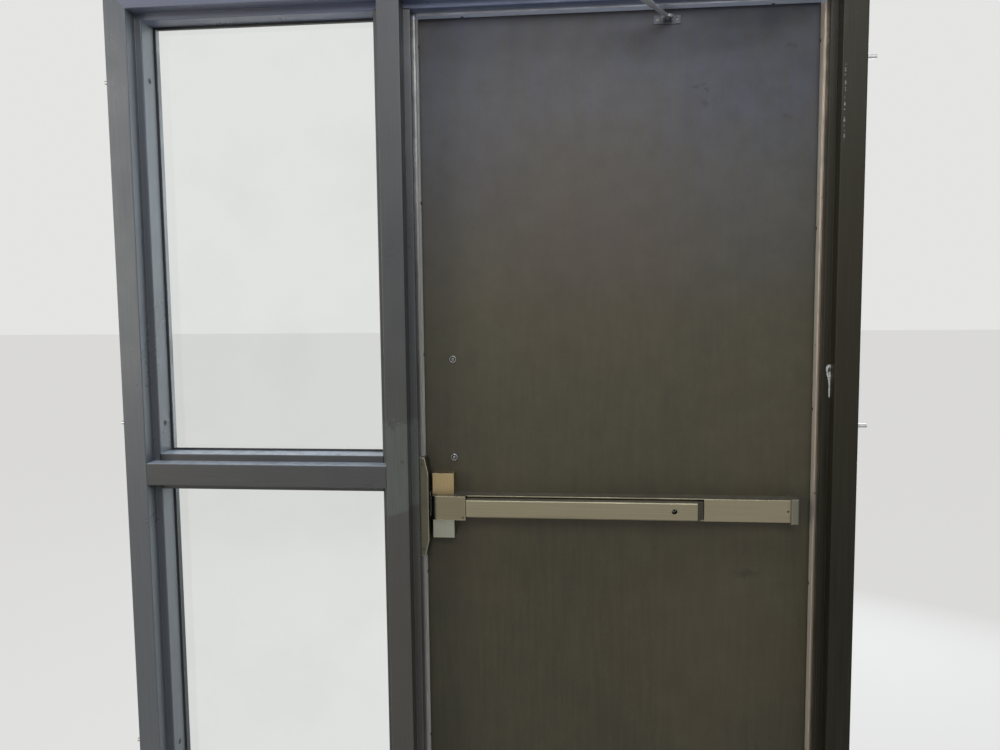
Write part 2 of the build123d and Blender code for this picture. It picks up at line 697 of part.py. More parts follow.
def device_case():
    """The upright case around the latch, open to the door and slotted for the bolt."""
    front = DOOR_IN - CASE_D
    x0, x1 = CASE_LEFT, CHANNEL_LEFT
    z0, z1 = DEVICE_Z - CASE_H / 2, DEVICE_Z + CASE_H / 2
    case = block(x0, x1, front, DOOR_IN, z0, z1)
    case = fillet(case.edges().filter_by(Axis.Z).group_by(Axis.Y)[0], CASE_R)
    wall = CASE_WALL
    case -= block(x0 + wall, x1 - wall, front + wall, DOOR_IN, z0 + wall, z1 - wall)
    y0 = BOLT_Y - BOLT_T / 2 - BOLT_CLEAR
    half = BOLT_H / 2 + BOLT_CLEAR
    y1 = BOLT_Y + BOLT_T / 2 + BOLT_CLEAR
    case -= block(x0 - 1, x0 + wall + 1, y0, y1, DEVICE_Z - half, DEVICE_Z + half)
    inside = CHANNEL_W / 2 - CHANNEL_WALL
    way_in = DOOR_IN - CHANNEL_D + CHANNEL_WALL
    return case - block(x1 - wall - 1, x1 + 1, way_in, DOOR_IN, DEVICE_Z - inside, DEVICE_Z + inside)


def head_cover():
    """The pressed cover over the case and the channel's start, rounded at its free end."""
    front = DOOR_IN - HEAD_D
    x0, x1 = CASE_LEFT + HEAD_INSET, CASE_LEFT + HEAD_W
    wall = HEAD_WALL
    half = CHANNEL_W / 2 + HEAD_CLEAR + wall
    z0, z1 = DEVICE_Z - half, DEVICE_Z + half
    shell = block(x0, x1, front, DOOR_IN, z0, z1)
    corner = shell.edges().filter_by(Axis.Z).group_by(Axis.X)[0].sort_by(Axis.Y)[0]
    shell = fillet(corner, HEAD_R)
    hollow = block(x0 + wall, x1 + 1, front + wall, DOOR_IN, z0 + wall, z1 - wall)
    inner = hollow.edges().filter_by(Axis.Z).group_by(Axis.X)[0].sort_by(Axis.Y)[0]
    shell -= fillet(inner, HEAD_R - wall)
    return shell - block(x0 - 1, CHANNEL_LEFT, DOOR_IN - CASE_D, DOOR_IN + 1, z0 - 1, z1 + 1)


def channel():
    """The long base channel on the door."""
    half = CHANNEL_W / 2
    y0 = DOOR_IN - CHANNEL_D
    wall = CHANNEL_WALL
    body = block(CHANNEL_LEFT, CHANNEL_RIGHT, y0, DOOR_IN, DEVICE_Z - half, DEVICE_Z + half)
    inner = half - wall
    hollow = block(CHANNEL_LEFT, CHANNEL_RIGHT, y0, DOOR_IN - wall, DEVICE_Z - inner, DEVICE_Z + inner)
    return body - hollow


def touch_bar():
    """The bar that is pushed: a rounded channel with two lugs and the dogging hole."""
    half = BAR_H / 2
    x1 = BAR_RIGHT - BAR_TRIM_L
    back = BAR_FRONT + BAR_SKIRT
    bar = block(BAR_LEFT, x1, BAR_FRONT, back, DEVICE_Z - half, DEVICE_Z + half)
    bar = fillet(bar.edges().filter_by(Axis.X).group_by(Axis.Y)[0], BAR_R)
    wall = BAR_WALL
    inner = half - wall
    bar -= block(BAR_LEFT, x1, BAR_FRONT + wall, back, DEVICE_Z - inner, DEVICE_Z + inner)
    bar -= rod("Y", x1 - DOG_INSET, BAR_FRONT - 1, DEVICE_Z, DOG_R, wall + 2)
    for x in crank_places():
        bar += bar_lug(x)
    return bar


def bar_trim():
    """The dark end piece of the touch bar: its front slopes back, and its plug fits in the bar."""
    half = BAR_H / 2
    x0 = BAR_RIGHT - BAR_TRIM_L
    back = BAR_FRONT + BAR_SKIRT
    outline = [(x0, BAR_FRONT), (BAR_RIGHT, BAR_FRONT + BAR_TRIM_SLOPE), (BAR_RIGHT, back), (x0, back)]
    trim = prism(outline, "Z", DEVICE_Z - half, DEVICE_Z + half)
    inset = BAR_WALL + BAR_FIT
    z0, z1 = DEVICE_Z - half + inset, DEVICE_Z + half - inset
    return trim + block(x0 - BAR_PLUG_L, x0, BAR_FRONT + inset, back, z0, z1)


def end_cover():
    """The plain cover that closes the channel between the bar and the end cap."""
    half = CHANNEL_W / 2
    x0, x1 = CHANNEL_RIGHT - COVER_LENGTH, CHANNEL_RIGHT
    y1 = DOOR_IN - CHANNEL_D
    plate = block(x0, x1, y1 - COVER_T, y1, DEVICE_Z - half, DEVICE_Z + half)
    plate = fillet(plate.edges().filter_by(Axis.X).group_by(Axis.Y)[0], 1.2)
    lip_in = half - CHANNEL_WALL - 0.2
    for side in (-1, 1):
        z0, z1 = sorted((DEVICE_Z + side * lip_in, DEVICE_Z + side * (lip_in - 1.6)))
        plate += block(x0, x1, y1, y1 + 9, z0, z1)
    return plate


def end_cap():
    """The moulded cap over the channel's end, with its edges rounded at the front."""
    half = END_CAP_H / 2
    z0, z1 = DEVICE_Z - half, DEVICE_Z + half
    cap = block(CHANNEL_RIGHT, DEVICE_RIGHT, DOOR_IN - END_CAP_D, DOOR_IN, z0, z1)
    return fillet(cap.faces().sort_by(Axis.Y)[0].edges(), END_CAP_R)


def crank_places():
    return [CASE_LEFT + CRANK_FIRST + i * CRANK_PITCH for i in range(2)]


def crank_tips(x):
    """Centres of a crank's two ends at rest, under the touch bar and in the drive rod."""
    turn = CRANK_HALF_TURN
    bar_tip = (x - CRANK_BAR_ARM * cos(turn), CRANK_Y - CRANK_BAR_ARM * sin(turn))
    rod_tip = (x - CRANK_ROD_ARM * sin(turn), CRANK_Y + CRANK_ROD_ARM * cos(turn))
    return bar_tip, rod_tip


def crank(x):
    """A bell crank at rest: one arm under the touch bar, the other in the drive rod's slot."""
    z0 = DEVICE_Z - CRANK_T / 2
    shape = rod("Z", x, CRANK_Y, z0, CRANK_PIN_R + CRANK_RIM, CRANK_T)
    half = CRANK_TIP_R * CRANK_WEB
    for tip_x, tip_y in crank_tips(x):
        way = Vector(tip_x - x, tip_y - CRANK_Y)
        web = block(0, way.length, -half, half, 0, CRANK_T)
        turn = Plane(origin=(x, CRANK_Y, z0), x_dir=way, z_dir=(0, 0, 1))
        shape += turn.location * web
        shape += rod("Z", tip_x, tip_y, z0, CRANK_TIP_R, CRANK_T)
    return shape - rod("Z", x, CRANK_Y, z0, CRANK_PIN_R + CRANK_CLEAR, CRANK_T)


def crank_bracket(x):
    """A folded bracket on the channel floor with two ears for the crank's pin."""
    half = ROD_W / 2 + 1
    wide = CRANK_PIN_R + CRANK_RIM + 2
    y1 = DOOR_IN - CHANNEL_WALL
    y0 = CRANK_Y - CRANK_PIN_R - CRANK_RIM
    outer = half + CRANK_EAR_T
    bracket = block(x - wide, x + wide, y0, y1, DEVICE_Z - outer, DEVICE_Z + outer)
    bracket -= block(x - wide, x + wide, y0, y1 - CRANK_FOOT_T, DEVICE_Z - half, DEVICE_Z + half)
    return bracket - crank_pin(x)


def crank_pin(x):
    half = ROD_W / 2 + 1 + CRANK_EAR_T
    return rod("Z", x, CRANK_Y, DEVICE_Z - half, CRANK_PIN_R, 2 * half)


def crank_spring(x):
    """The torsion spring on a crank's pin, between the crank and one ear."""
    radius = CRANK_PIN_R + SPRING_WIRE / 2 + SPRING_CLEAR
    room = ROD_W / 2 + 1 - CRANK_T / 2
    height = room - SPRING_WIRE - 2 * SPRING_CLEAR
    path = Helix(pitch=height / SPRING_TURNS, height=height, radius=radius)
    wire = Plane(path @ 0, z_dir=path % 0) * Rectangle(SPRING_WIRE, SPRING_WIRE)
    coil = sweep(wire, path=path, is_frenet=True)
    return Pos(x, CRANK_Y, DEVICE_Z + CRANK_T / 2 + SPRING_WIRE / 2 + SPRING_CLEAR) * coil


def bar_lug(x):
    """A block inside the touch bar that presses on a crank's arm."""
    tip_x, tip_y = crank_tips(x)[0]
    y0, y1 = BAR_FRONT + BAR_WALL, tip_y - CRANK_TIP_R - LUG_GAP
    z0, z1 = DEVICE_Z - LUG_HALF, DEVICE_Z + LUG_HALF
    return block(tip_x - LUG_HALF, tip_x + LUG_SHORT, y0, y1, z0, z1)


def drive_rod():
    """The flat rod that the cranks draw towards the hinges, slotted for their tips."""
    start = CASE_LEFT + BOLT_BODY
    end = crank_places()[-1] + CRANK_ROD_ARM
    half = ROD_W / 2
    y0, y1 = ROD_Y - ROD_T / 2, ROD_Y + ROD_T / 2
    strip = block(start, end, y0, y1, DEVICE_Z - half, DEVICE_Z + half)
    slot = CRANK_TIP_R + BOLT_CLEAR
    slot_half = CRANK_T / 2 + BOLT_CLEAR
    for x in crank_places():
        middle = crank_tips(x)[1][0]
        z0, z1 = DEVICE_Z - slot_half, DEVICE_Z + slot_half
        strip -= block(middle - slot, middle + slot, y0, y1, z0, z1)
    return strip


def latch_bolt():
    """The bolt with its sloped nose and the foot that is riveted to the drive rod."""
    nose = STRIKE_FACE + STRIKE_T - BOLT_IN_STRIKE
    tail = CASE_LEFT + BOLT_BODY
    y0, y1 = BOLT_Y - BOLT_T / 2, BOLT_Y + BOLT_T / 2
    points = [(nose, y1), (nose, y1 - BOLT_T / 3), (nose + BOLT_T, y0), (tail, y0), (tail, y1)]
    bolt = prism(points, "Z", DEVICE_Z - BOLT_H / 2, DEVICE_Z + BOLT_H / 2)
    half = ROD_W / 2
    foot = block(tail - ROD_W, tail, y1, ROD_Y + ROD_T / 2, DEVICE_Z - half, DEVICE_Z + half)
    return bolt + foot


def dogging_screw():
    """The hexagon key screw behind the hole in the touch bar, clear of the bar's travel."""
    x = BAR_RIGHT - BAR_TRIM_L - DOG_INSET
    y0 = BAR_FRONT + BAR_WALL + BAR_TRAVEL + LUG_GAP
    y1 = DOOR_IN - CHANNEL_WALL
    body = rod("Y", x, y0, DEVICE_Z, DOG_R - DOG_CLEAR, y1 - y0)
    socket = extrude(Plane.XZ * RegularPolygon(DOG_SOCKET, 6), amount=DOG_SOCKET_L)
    return body - Pos(x, y0 + DOG_SOCKET_L, DEVICE_Z) * socket


def make_exit_device():
    places = crank_places()
    save("device_case", device_case())
    save("device_head_cover", head_cover())
    save("device_channel", channel())
    save("touch_bar", touch_bar())
    save("touch_bar_trim", bar_trim())
    save("device_end_cover", end_cover())
    save("device_end_cap", end_cap())
    save("crank_left", crank(places[0]))
    save("crank_right", crank(places[1]))
    save("crank_brackets", *[crank_bracket(x) for x in places])
    save("crank_pins", *[crank_pin(x) for x in places])
    save("crank_springs", *[crank_spring(x) for x in places])
    save("drive_rod", drive_rod())
    save("latch_bolt", latch_bolt())
    save("dogging_screw", dogging_screw())


# Electric strike


def strike_outline():
    """Side view of the housing, x and z: thinner towards both ends."""
    half = STRIKE_H / 2
    flat = half - STRIKE_TAPER
    x0 = STRIKE_FACE
    points = [(x0, DEVICE_Z - half), (x0 + STRIKE_END_T, DEVICE_Z - half)]
    points += [(x0 + STRIKE_T, DEVICE_Z - flat), (x0 + STRIKE_T, DEVICE_Z + flat)]
    return points + [(x0 + STRIKE_END_T, DEVICE_Z + half), (x0, DEVICE_Z + half)]


def keeper_pin():
    length = STRIKE_POCKET_H + 4 * KEEPER_BARREL_R
    return rod("Z", KEEPER_X, KEEPER_Y, DEVICE_Z - length / 2, KEEPER_PIN_R, length)


def solenoid(clearance=0):
    """The coil block that frees the keeper, in the upper half of the strike."""
    z0 = DEVICE_Z + STRIKE_POCKET_H / 2 + COIL_GAP
    middle = (STRIKE_IN + STRIKE_OUT) / 2
    half = COIL_W / 2 + clearance
    x1 = STRIKE_FACE + COIL_D + clearance
    return block(STRIKE_FACE, x1, middle - half, middle + half, z0 - clearance, z0 + COIL_H + clearance)


def strike_body():
    """The surface housing on the mullion's soffit, with the pocket that takes the latch."""
    body = prism(strike_outline(), "Y", STRIKE_IN, STRIKE_OUT)
    pocket_y = BOLT_Y - BOLT_T / 2 - STRIKE_BACK
    reach = STRIKE_POCKET_H / 2
    x0, x1 = STRIKE_FACE + STRIKE_BACK, STRIKE_FACE + STRIKE_T + 1
    body -= block(x0, x1, pocket_y, STRIKE_OUT + 1, DEVICE_Z - reach, DEVICE_Z + reach)
    return drilled(body, [keeper_pin(), solenoid(KEEPER_CLEAR)])


def keeper():
    """The jaw that holds the latch bolt and swings outwards when it is freed."""
    reach = STRIKE_POCKET_H / 2 - KEEPER_CLEAR
    z0, z1 = DEVICE_Z - reach, DEVICE_Z + reach
    half = KEEPER_T / 2
    jaw = block(KEEPER_X, KEEPER_X + KEEPER_REACH, KEEPER_Y - half, KEEPER_Y + half, z0, z1)
    jaw = fillet(jaw.edges().filter_by(Axis.Z).group_by(Axis.X)[-1], half / 2)
    jaw += rod("Z", KEEPER_X, KEEPER_Y, z0, KEEPER_BARREL_R, 2 * reach)
    return jaw - rod("Z", KEEPER_X, KEEPER_Y, z0, KEEPER_PIN_R + CRANK_CLEAR, 2 * reach)


def make_strike():
    save("strike_body", strike_body())
    save("strike_solenoid", solenoid())
    save("strike_keeper", keeper())
    save("strike_keeper_pin", keeper_pin())


# Pull handle


def pull_handle():
    """The bent square bar on the outside of the door, tapped at both ends."""
    low, high = through_bolt_heights()
    out = DEPTH + PULL_PROJECTION - PULL_BAR / 2
    points = [(PULL_X, DEPTH, low), (PULL_X, out, low), (PULL_X, out, high), (PULL_X, DEPTH, high)]
    path = FilletPolyline(*points, radius=PULL_BEND_R)
    bar = sweep(Plane(origin=points[0], z_dir=(0, 1, 0)) * Rectangle(PULL_BAR, PULL_BAR), path=path)
    for z in (low, high):
        bar -= rod("Y", PULL_X, DEPTH, z, PULL_BOLT_R, PULL_THREAD_L)
    return bar


def through_bolt(z):
    """A round headed bolt through the door into the pull."""
    shank = rod("Y", PULL_X, DOOR_IN, z, PULL_BOLT_R, DOOR_T + PULL_THREAD_L)
    head = rod("Y", PULL_X, DOOR_IN - PULL_HEAD_T, z, PULL_HEAD_R, PULL_HEAD_T)
    return head + shank


def make_pull():
    save("pull_handle", pull_handle())
    save("pull_bolts", *[through_bolt(z) for z in through_bolt_heights()])


# Closer


def closer_body():
    """The cast cylinder body on the header, with rounded long edges."""
    x1 = SPINDLE_X + SPINDLE_FROM_END
    body = block(x1 - CLOSER_LENGTH, x1, -CLOSER_D, 0, CLOSER_Z0, CLOSER_Z0 + CLOSER_H)
    body = fillet(body.edges().filter_by(Axis.X).group_by(Axis.Y)[0], CLOSER_R)
    return body - rod("Z", SPINDLE_X, CLOSER_Y, CLOSER_Z0, SPINDLE_R + SPINDLE_CLEAR, SPINDLE_DEEP)


def spindle():
    low = ARM_Z - HUB_LIP
    return rod("Z", SPINDLE_X, CLOSER_Y, low, SPINDLE_R, CLOSER_Z0 + SPINDLE_DEEP - low)


def main_arm():
    """The flat tapered arm from the spindle to the elbow."""
    wide, narrow = ARM_W / 2, ELBOW_R * 2.2
    points = [(0, -wide), (ARM_LENGTH, -narrow), (ARM_LENGTH, narrow), (0, wide)]
    arm = Pos(SPINDLE_X, CLOSER_Y, ARM_Z) * Rot(0, 0, ARM_ANGLE) * prism(points, "Z", 0, ARM_T)
    arm += rod("Z", SPINDLE_X, CLOSER_Y, ARM_Z - HUB_LIP, 2 * SPINDLE_R, ARM_T + 2 * HUB_LIP)
    arm += rod("Z", ELBOW_X, ELBOW_Y, ARM_Z, narrow, ARM_T)
    arm -= rod("Z", SPINDLE_X, CLOSER_Y, ARM_Z - HUB_LIP, SPINDLE_R, ARM_T + 2 * HUB_LIP)
    return arm - rod("Z", ELBOW_X, ELBOW_Y, ARM_Z, ELBOW_R, ARM_T)


def elbow_bolt():
    """The bolt through the elbow, with its hexagon head and nut."""
    low = FOREARM_Z - EYE_T / 2 - ELBOW_CLEAR
    bolt = rod("Z", ELBOW_X, ELBOW_Y, low - ELBOW_R, ELBOW_R, ARM_Z + ARM_T - low + ELBOW_R)
    hexagon = extrude(RegularPolygon(1.7 * ELBOW_R, 6), amount=ELBOW_R)
    bolt += Pos(ELBOW_X, ELBOW_Y, low - ELBOW_R) * hexagon
    return bolt + Pos(ELBOW_X, ELBOW_Y, ARM_Z + ARM_T) * hexagon


def forearm_tube():
    """The half of the forearm at the elbow: a tube with a flat eye."""
    eye_r = ELBOW_R * 2.2
    sleeve = rod("X", eye_r, 0, 0, SLEEVE_R, SLEEVE_LENGTH - eye_r)
    sleeve -= rod("X", ROD_START - 2, 0, 0, FOREARM_R, SLEEVE_LENGTH)
    tube = rod("Z", ELBOW_X, ELBOW_Y, FOREARM_Z - EYE_T / 2, eye_r + 1, EYE_T)
    tube += Pos(ELBOW_X, ELBOW_Y, FOREARM_Z) * Rot(0, 0, FOREARM_ANGLE) * sleeve
    bore = rod("Z", ELBOW_X, ELBOW_Y, FOREARM_Z - EYE_T / 2, ELBOW_R + ELBOW_CLEAR, EYE_T)
    return tube - bore


def forearm_rod():
    """The rod that slides in the tube, with the open eye around the shoe's pin."""
    low = FOREARM_Z - EYE_T / 2
    shaft = rod("X", ROD_START, 0, 0, FOREARM_R, FOREARM_LENGTH - ROD_START - EYE_BORE_R)
    flat = block(FOREARM_LENGTH - FLAT_LENGTH, FOREARM_LENGTH, -SLEEVE_R, SLEEVE_R, EYE_T / 2, SLEEVE_R)
    shaft = shaft - flat - mirror(flat, about=Plane.XY)
    arm = Pos(ELBOW_X, ELBOW_Y, FOREARM_Z) * Rot(0, 0, FOREARM_ANGLE) * shaft
    arm += rod("Z", SHOE_PX, SHOE_PY, low, EYE_R, EYE_T)
    return arm - rod("Z", SHOE_PX, SHOE_PY, low, EYE_BORE_R, EYE_T)


def shoe():
    """The shoe on the door: a plate with two ears that hold the forearm's pin."""
    half_w, half_h = SHOE_W / 2, SHOE_H / 2
    face = DOOR_IN - SHOE_T
    plate = block(SHOE_PX - half_w, SHOE_PX + half_w, face, DOOR_IN, FOREARM_Z - half_h, FOREARM_Z + half_h)
    gap = EYE_T / 2 + EAR_GAP
    for side in (-1, 1):
        z0, z1 = sorted((FOREARM_Z + side * gap, FOREARM_Z + side * (gap + EAR_T)))
        ear = block(SHOE_PX - EAR_R, SHOE_PX + EAR_R, SHOE_PY, face, z0, z1)
        plate += ear + rod("Z", SHOE_PX, SHOE_PY, z0, EAR_R, EAR_T)
    return plate - shoe_pin()


def shoe_pin():
    half = EYE_T / 2 + EAR_GAP + EAR_T
    return rod("Z", SHOE_PX, SHOE_PY, FOREARM_Z - half, SHOE_PIN_R, 2 * half)


def make_closer():
    save("closer_body", closer_body())
    save("closer_spindle", spindle())
    save("closer_main_arm", main_arm())
    save("closer_elbow_bolt", elbow_bolt())
    save("closer_forearm_tube", forearm_tube())
    save("closer_forearm_rod", forearm_rod())
    save("closer_shoe", shoe())
    save("closer_shoe_pin", shoe_pin())


def main():
    os.makedirs("parts", exist_ok=True)
    make_frame()
    make_glazing()
    make_weatherstrip()
    make_door()
    make_hinges()
    make_exit_device()
    make_strike()
    make_pull()
    make_closer()


main()
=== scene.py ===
"""Finishes for a hollow metal exit door in its frame: paint, metal, glass, screws and the stage.

Metres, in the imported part's frame: X to the right seen from inside, Y outwards, Z up.
"""
from math import cos, pi, sin, sqrt

import bpy
from bpy.props import FloatProperty, FloatVectorProperty, PointerProperty
from bpy.types import Operator, Panel, PropertyGroup, Scene
from mathutils import Matrix, Vector


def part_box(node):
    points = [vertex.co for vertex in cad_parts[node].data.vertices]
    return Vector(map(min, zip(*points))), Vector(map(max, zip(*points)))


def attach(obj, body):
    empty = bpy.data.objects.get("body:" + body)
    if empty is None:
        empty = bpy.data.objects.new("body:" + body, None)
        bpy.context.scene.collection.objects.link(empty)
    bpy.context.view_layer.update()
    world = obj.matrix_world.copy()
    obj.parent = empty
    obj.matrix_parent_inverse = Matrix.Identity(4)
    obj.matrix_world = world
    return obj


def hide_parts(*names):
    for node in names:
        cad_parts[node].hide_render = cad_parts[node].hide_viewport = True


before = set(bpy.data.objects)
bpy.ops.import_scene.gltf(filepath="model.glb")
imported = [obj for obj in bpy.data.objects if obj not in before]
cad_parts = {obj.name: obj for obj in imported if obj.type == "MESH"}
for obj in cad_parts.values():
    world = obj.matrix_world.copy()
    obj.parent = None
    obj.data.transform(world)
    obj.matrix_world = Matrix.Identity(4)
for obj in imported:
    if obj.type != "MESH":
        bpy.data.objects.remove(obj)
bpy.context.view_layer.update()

bl_info = {
    "name": "Exit Door Finishes",
    "version": (1, 0, 0),
    "blender": (4, 5, 0),
    "location": "3D View > Sidebar > Exit Door",
    "description": "Paint, metal, glass, screws and a stage for a hollow metal exit door in its frame",
    "category": "Object",
}

# Camera
CAMERA_PLACE = Vector((-0.04136, -1.9471, 1.5107))
CAMERA_TURN = 0.10641        # to the left of straight ahead
CAMERA_TILT = 0.094323       # below the horizon
CAMERA_ROLL = -0.010449
CAMERA_LENS = 32.462

# Lamps: name, place, where it points, width and height, watts and colour
LAMPS = (
    ("Front light", (0.15, -3.1, 3.0), (0.0, 0.1, 1.7), (2.0, 1.2), 46.0, (0.94, 0.96, 1.0)),
    ("Side light", (-3.1, -2.3, 1.9), (0.2, 0.1, 1.3), (1.4, 2.0), 46.0, (1.0, 0.93, 0.82)),
    ("Overhead light", (-0.2, -0.8, 3.3), (-0.1, 0.1, 2.0), (2.2, 0.7), 26.0, (0.66, 0.8, 1.0)),
    ("Outside light", (0.8, 2.6, 1.8), (-1.0, 0.0, 1.3), (2.8, 2.6), 150.0, (0.84, 0.92, 1.0)),
)
FLOOR_REACH = 30.0

# Places on the object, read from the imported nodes
JAMB_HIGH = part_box("left_jamb")[1]
POST_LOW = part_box("mullion")[0]
HINGE_JAMB_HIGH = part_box("right_jamb")[1]
RAIL_LOW, RAIL_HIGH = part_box("side_light_rail")
LEAF_LOW, LEAF_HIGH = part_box("inner_skin")
STRIP_LOW, STRIP_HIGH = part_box("weatherstrip_carriers")
COVER_LOW, COVER_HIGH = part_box("device_end_cover")
HEAD_LOW, HEAD_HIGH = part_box("device_head_cover")
BAR_LOW, BAR_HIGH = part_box("touch_bar")
STRIKE_LOW, STRIKE_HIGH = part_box("strike_body")
BOLT_LOW, BOLT_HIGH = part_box("pull_bolts")
SHOE_LOW, SHOE_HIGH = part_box("closer_shoe")
STOP = 0.0159                # height of the frame's stop
FACE = 0.0508                # width of the frame's faces
REVEAL = 0.0397              # inside face of the frame to the stop
DEVICE_Z = (BAR_LOW.z + BAR_HIGH.z) / 2
LIGHTS = ((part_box("side_light_sill")[1].z, RAIL_LOW.z), (RAIL_HIGH.z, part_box("header")[0].z))

# Where the screws sit
HINGE_HEIGHT = 0.1143
HINGE_ROWS = ((0.009, 0.014), (0.025, 0.036))  # in from the leaf's edge, and in from its ends
BEAD_EDGE = STOP * 0.6       # half of it lies between a bead's edge and its screws
STRIP_THICKNESS = 0.00635
STRIP_TOP_SCREW = 0.061      # below the weatherstrip's head
ROW_END = 0.08               # a long row's end to the corner
COVER_EDGE = 0.006           # a cover's edge to its screw
ANCHOR_SHANK = 0.0045        # radius of a wall anchor


def face_marks(y, depth, *marks):
    """Marks on a face at y: across, up, and how far the mark reaches both ways."""
    return [((x, y, z), (wide, depth, high)) for x, z, wide, high in marks]


# Marks on the paint and the metal, where they were seen
TOUCH_UP = (1.0116, 1.2195)  # lower and upper edge of the patch on the mullion's face
SMUDGES = face_marks(
    0.0, 0.05, (-0.497, 1.216, 0.007, 0.01), (-0.489, 1.208, 0.006, 0.012),
    (-0.4695, 1.131, 0.006, 0.005), (-0.5496, 1.078, 0.012, 0.004))
SCUFFS = face_marks(
    0.1016, 0.05, (0.19, 1.951, 0.011, 0.005), (0.199, 1.939, 0.006, 0.009), (0.196, 1.913, 0.009, 0.012),
    (0.176, 1.945, 0.008, 0.004), (0.3774, 2.027, 0.026, 0.008), (0.3698, 1.878, 0.011, 0.007),
    (0.0948, 0.9177, 0.005, 0.004), (0.3, 0.862, 0.035, 0.012))
WARM_PATCHES = face_marks(0.1016, 0.2, (-0.1, 1.72, 0.4, 0.45), (0.2, 0.7, 0.34, 0.28))
BAR_NICKS = face_marks(0.04, 0.012, (0.1128, 1.04, 0.006, 0.0025), (-0.2406, 1.0456, 0.006, 0.0025))
STRIP_NICKS = [((0.435, y, z), (0.02, along, up)) for y, z, along, up in (
    (0.0653, 1.0568, 0.006, 0.004), (0.0491, 2.0374, 0.007, 0.006), (0.083, 1.3832, 0.006, 0.003),
    (0.06, 1.7, 0.01, 0.003))]
SCRAPE = (0.464, 1.8, 1.965)  # across and the two ends of the scraped line on the right jamb's face
DAB_PLACE = Vector((0.4565, REVEAL, 1.331))

# Colour and strength of what has settled on faces that point up
DUST = (0.34, 0.32, 0.27), 0.2
# Dark brown on the device's faces that point up: grime, and painted shade of tops that the lamps would light.
TOP_GRIME_AND_SHADE = (0.03, 0.026, 0.018), 0.75
PALE_DUST = (0.3, 0.28, 0.25), 0.5


# Node trees


class Tree:
    """Short names for the nodes that the finishes use, in one shader node tree."""

    def __init__(self, tree):
        self.tree = tree

    def feed(self, socket, value):
        """Link an output to the socket, or set the socket to a plain value or a colour."""
        if isinstance(value, bpy.types.NodeSocket):
            self.tree.links.new(value, socket)
        else:
            socket.default_value = (*value, 1.0) if socket.type == "RGBA" else value

    def node(self, kind, inputs=(), **settings):
        """A node with its settings, and its inputs fed in order or by name."""
        made = self.tree.nodes.new("ShaderNode" + kind)
        for name, value in settings.items():
            setattr(made, name, value)
        for key, value in inputs.items() if isinstance(inputs, dict) else enumerate(inputs):
            self.feed(made.inputs[key], value)
        return made

    def math(self, operation, *values):
        return self.node("Math", values, operation=operation).outputs["Value"]

    def times(self, first, second):
        return self.math("MULTIPLY", first, second)

    def vector(self, operation, *values):
        made = self.node("VectorMath", values, operation=operation)
        return made.outputs["Value" if operation in ("LENGTH", "DOT_PRODUCT") else "Vector"]

    def axes(self, vector):
        """A vector's parts along X, Y and Z."""
        return self.node("SeparateXYZ", [vector]).outputs

    def noise(self, place, scale, detail):
        inputs = {"Vector": place, "Scale": scale, "Detail": detail, "Roughness": 0.55}
        return self.node("TexNoise", inputs).outputs["Fac"]

    def share(self, value, low, high):
        """How far the value is from low to high, from 0 to 1."""
        inputs = {"Value": value, "From Min": low, "From Max": high}
        return self.node("MapRange", inputs).outputs["Result"]

    def lay(self, base, over, mask):
        """One colour laid over another where the mask is."""
        return self.node("MixRGB", {"Fac": mask, "Color1": base, "Color2": over}).outputs["Color"]


class Finish(Tree):
    """One material: a Principled shader, and a tone of layers that starts as a shade of its own colour."""

    def __init__(self, name, colour, ground=1.0, metallic=0.0, shine=0.5):
        self.material = bpy.data.materials.new(name)
        self.material.use_nodes = True
        super().__init__(self.material.node_tree)
        self.shader = self.tree.nodes["Principled BSDF"]
        self.colour, self.tone = colour, shade(colour, ground)
        self.set("Metallic", metallic)
        self.set("Specular IOR Level", shine)
        self.place = self.node("TexCoord").outputs["Object"]

    def set(self, name, value):
        self.feed(self.shader.inputs[name], value)

    def mask(self, effect, **values):
        """A shared effect with its own values."""
        given = {"Vector": self.place, **values}
        return self.node("Group", given, node_tree=bpy.data.node_groups[effect]).outputs["Mask"]

    def clouds(self, scale, low=0.35, high=0.65):
        return self.mask("Cloudy patches", Scale=scale, Low=low, High=high)

    def strokes(self, stretch, low=0.3, high=0.7):
        return self.mask("Long strokes", Stretch=stretch, Low=low, High=high)

    def over(self, colour, mask, strength=1.0, **values):
        """Lay a colour, or a shade of its own, over the tone where a mask or a shared effect is."""
        if isinstance(colour, float):
            colour = shade(self.colour, colour)
        if isinstance(mask, str):
            mask = self.mask(mask, **values)
        if strength != 1.0:
            mask = self.times(mask, strength)
        self.tone = self.lay(self.tone, colour, mask)

    def marks(self, places, colour, strength, ragged, core):
        """Lay the same kind of mark at each of its places."""
        for centre, size in places:
            self.over(colour, "Soft mark", strength, Centre=centre, Size=size, Ragged=ragged, Core=core)

    def roughness(self, low, high, mask):
        """Roughness from low to high over the mask."""
        self.set("Roughness", self.math("MULTIPLY_ADD", mask, high - low, low))

    def swap(self, shader, share):
        """Show another shader in place of the Principled one, by a share."""
        either = self.node("MixShader", [share, self.shader.outputs["BSDF"], shader])
        self.feed(self.tree.nodes["Material Output"].inputs["Surface"], either.outputs["Shader"])

    def done(self, *relief, edge=0.0):
        """The material, with its tone. Relief is masks with their heights, and edge rounds its edges."""
        self.set("Base Color", self.tone)
        height = 0.0
        for mask, depth in relief:
            height = self.math("MULTIPLY_ADD", mask, depth, height)
        if relief:
            bump = self.node("Bump", {"Distance": 1.0, "Height": height})
            if edge:
                rounded = self.node("Bevel", {"Radius": edge}, samples=6)
                self.feed(bump.inputs["Normal"], rounded.outputs["Normal"])
            self.set("Normal", bump.outputs["Normal"])
        return self.material


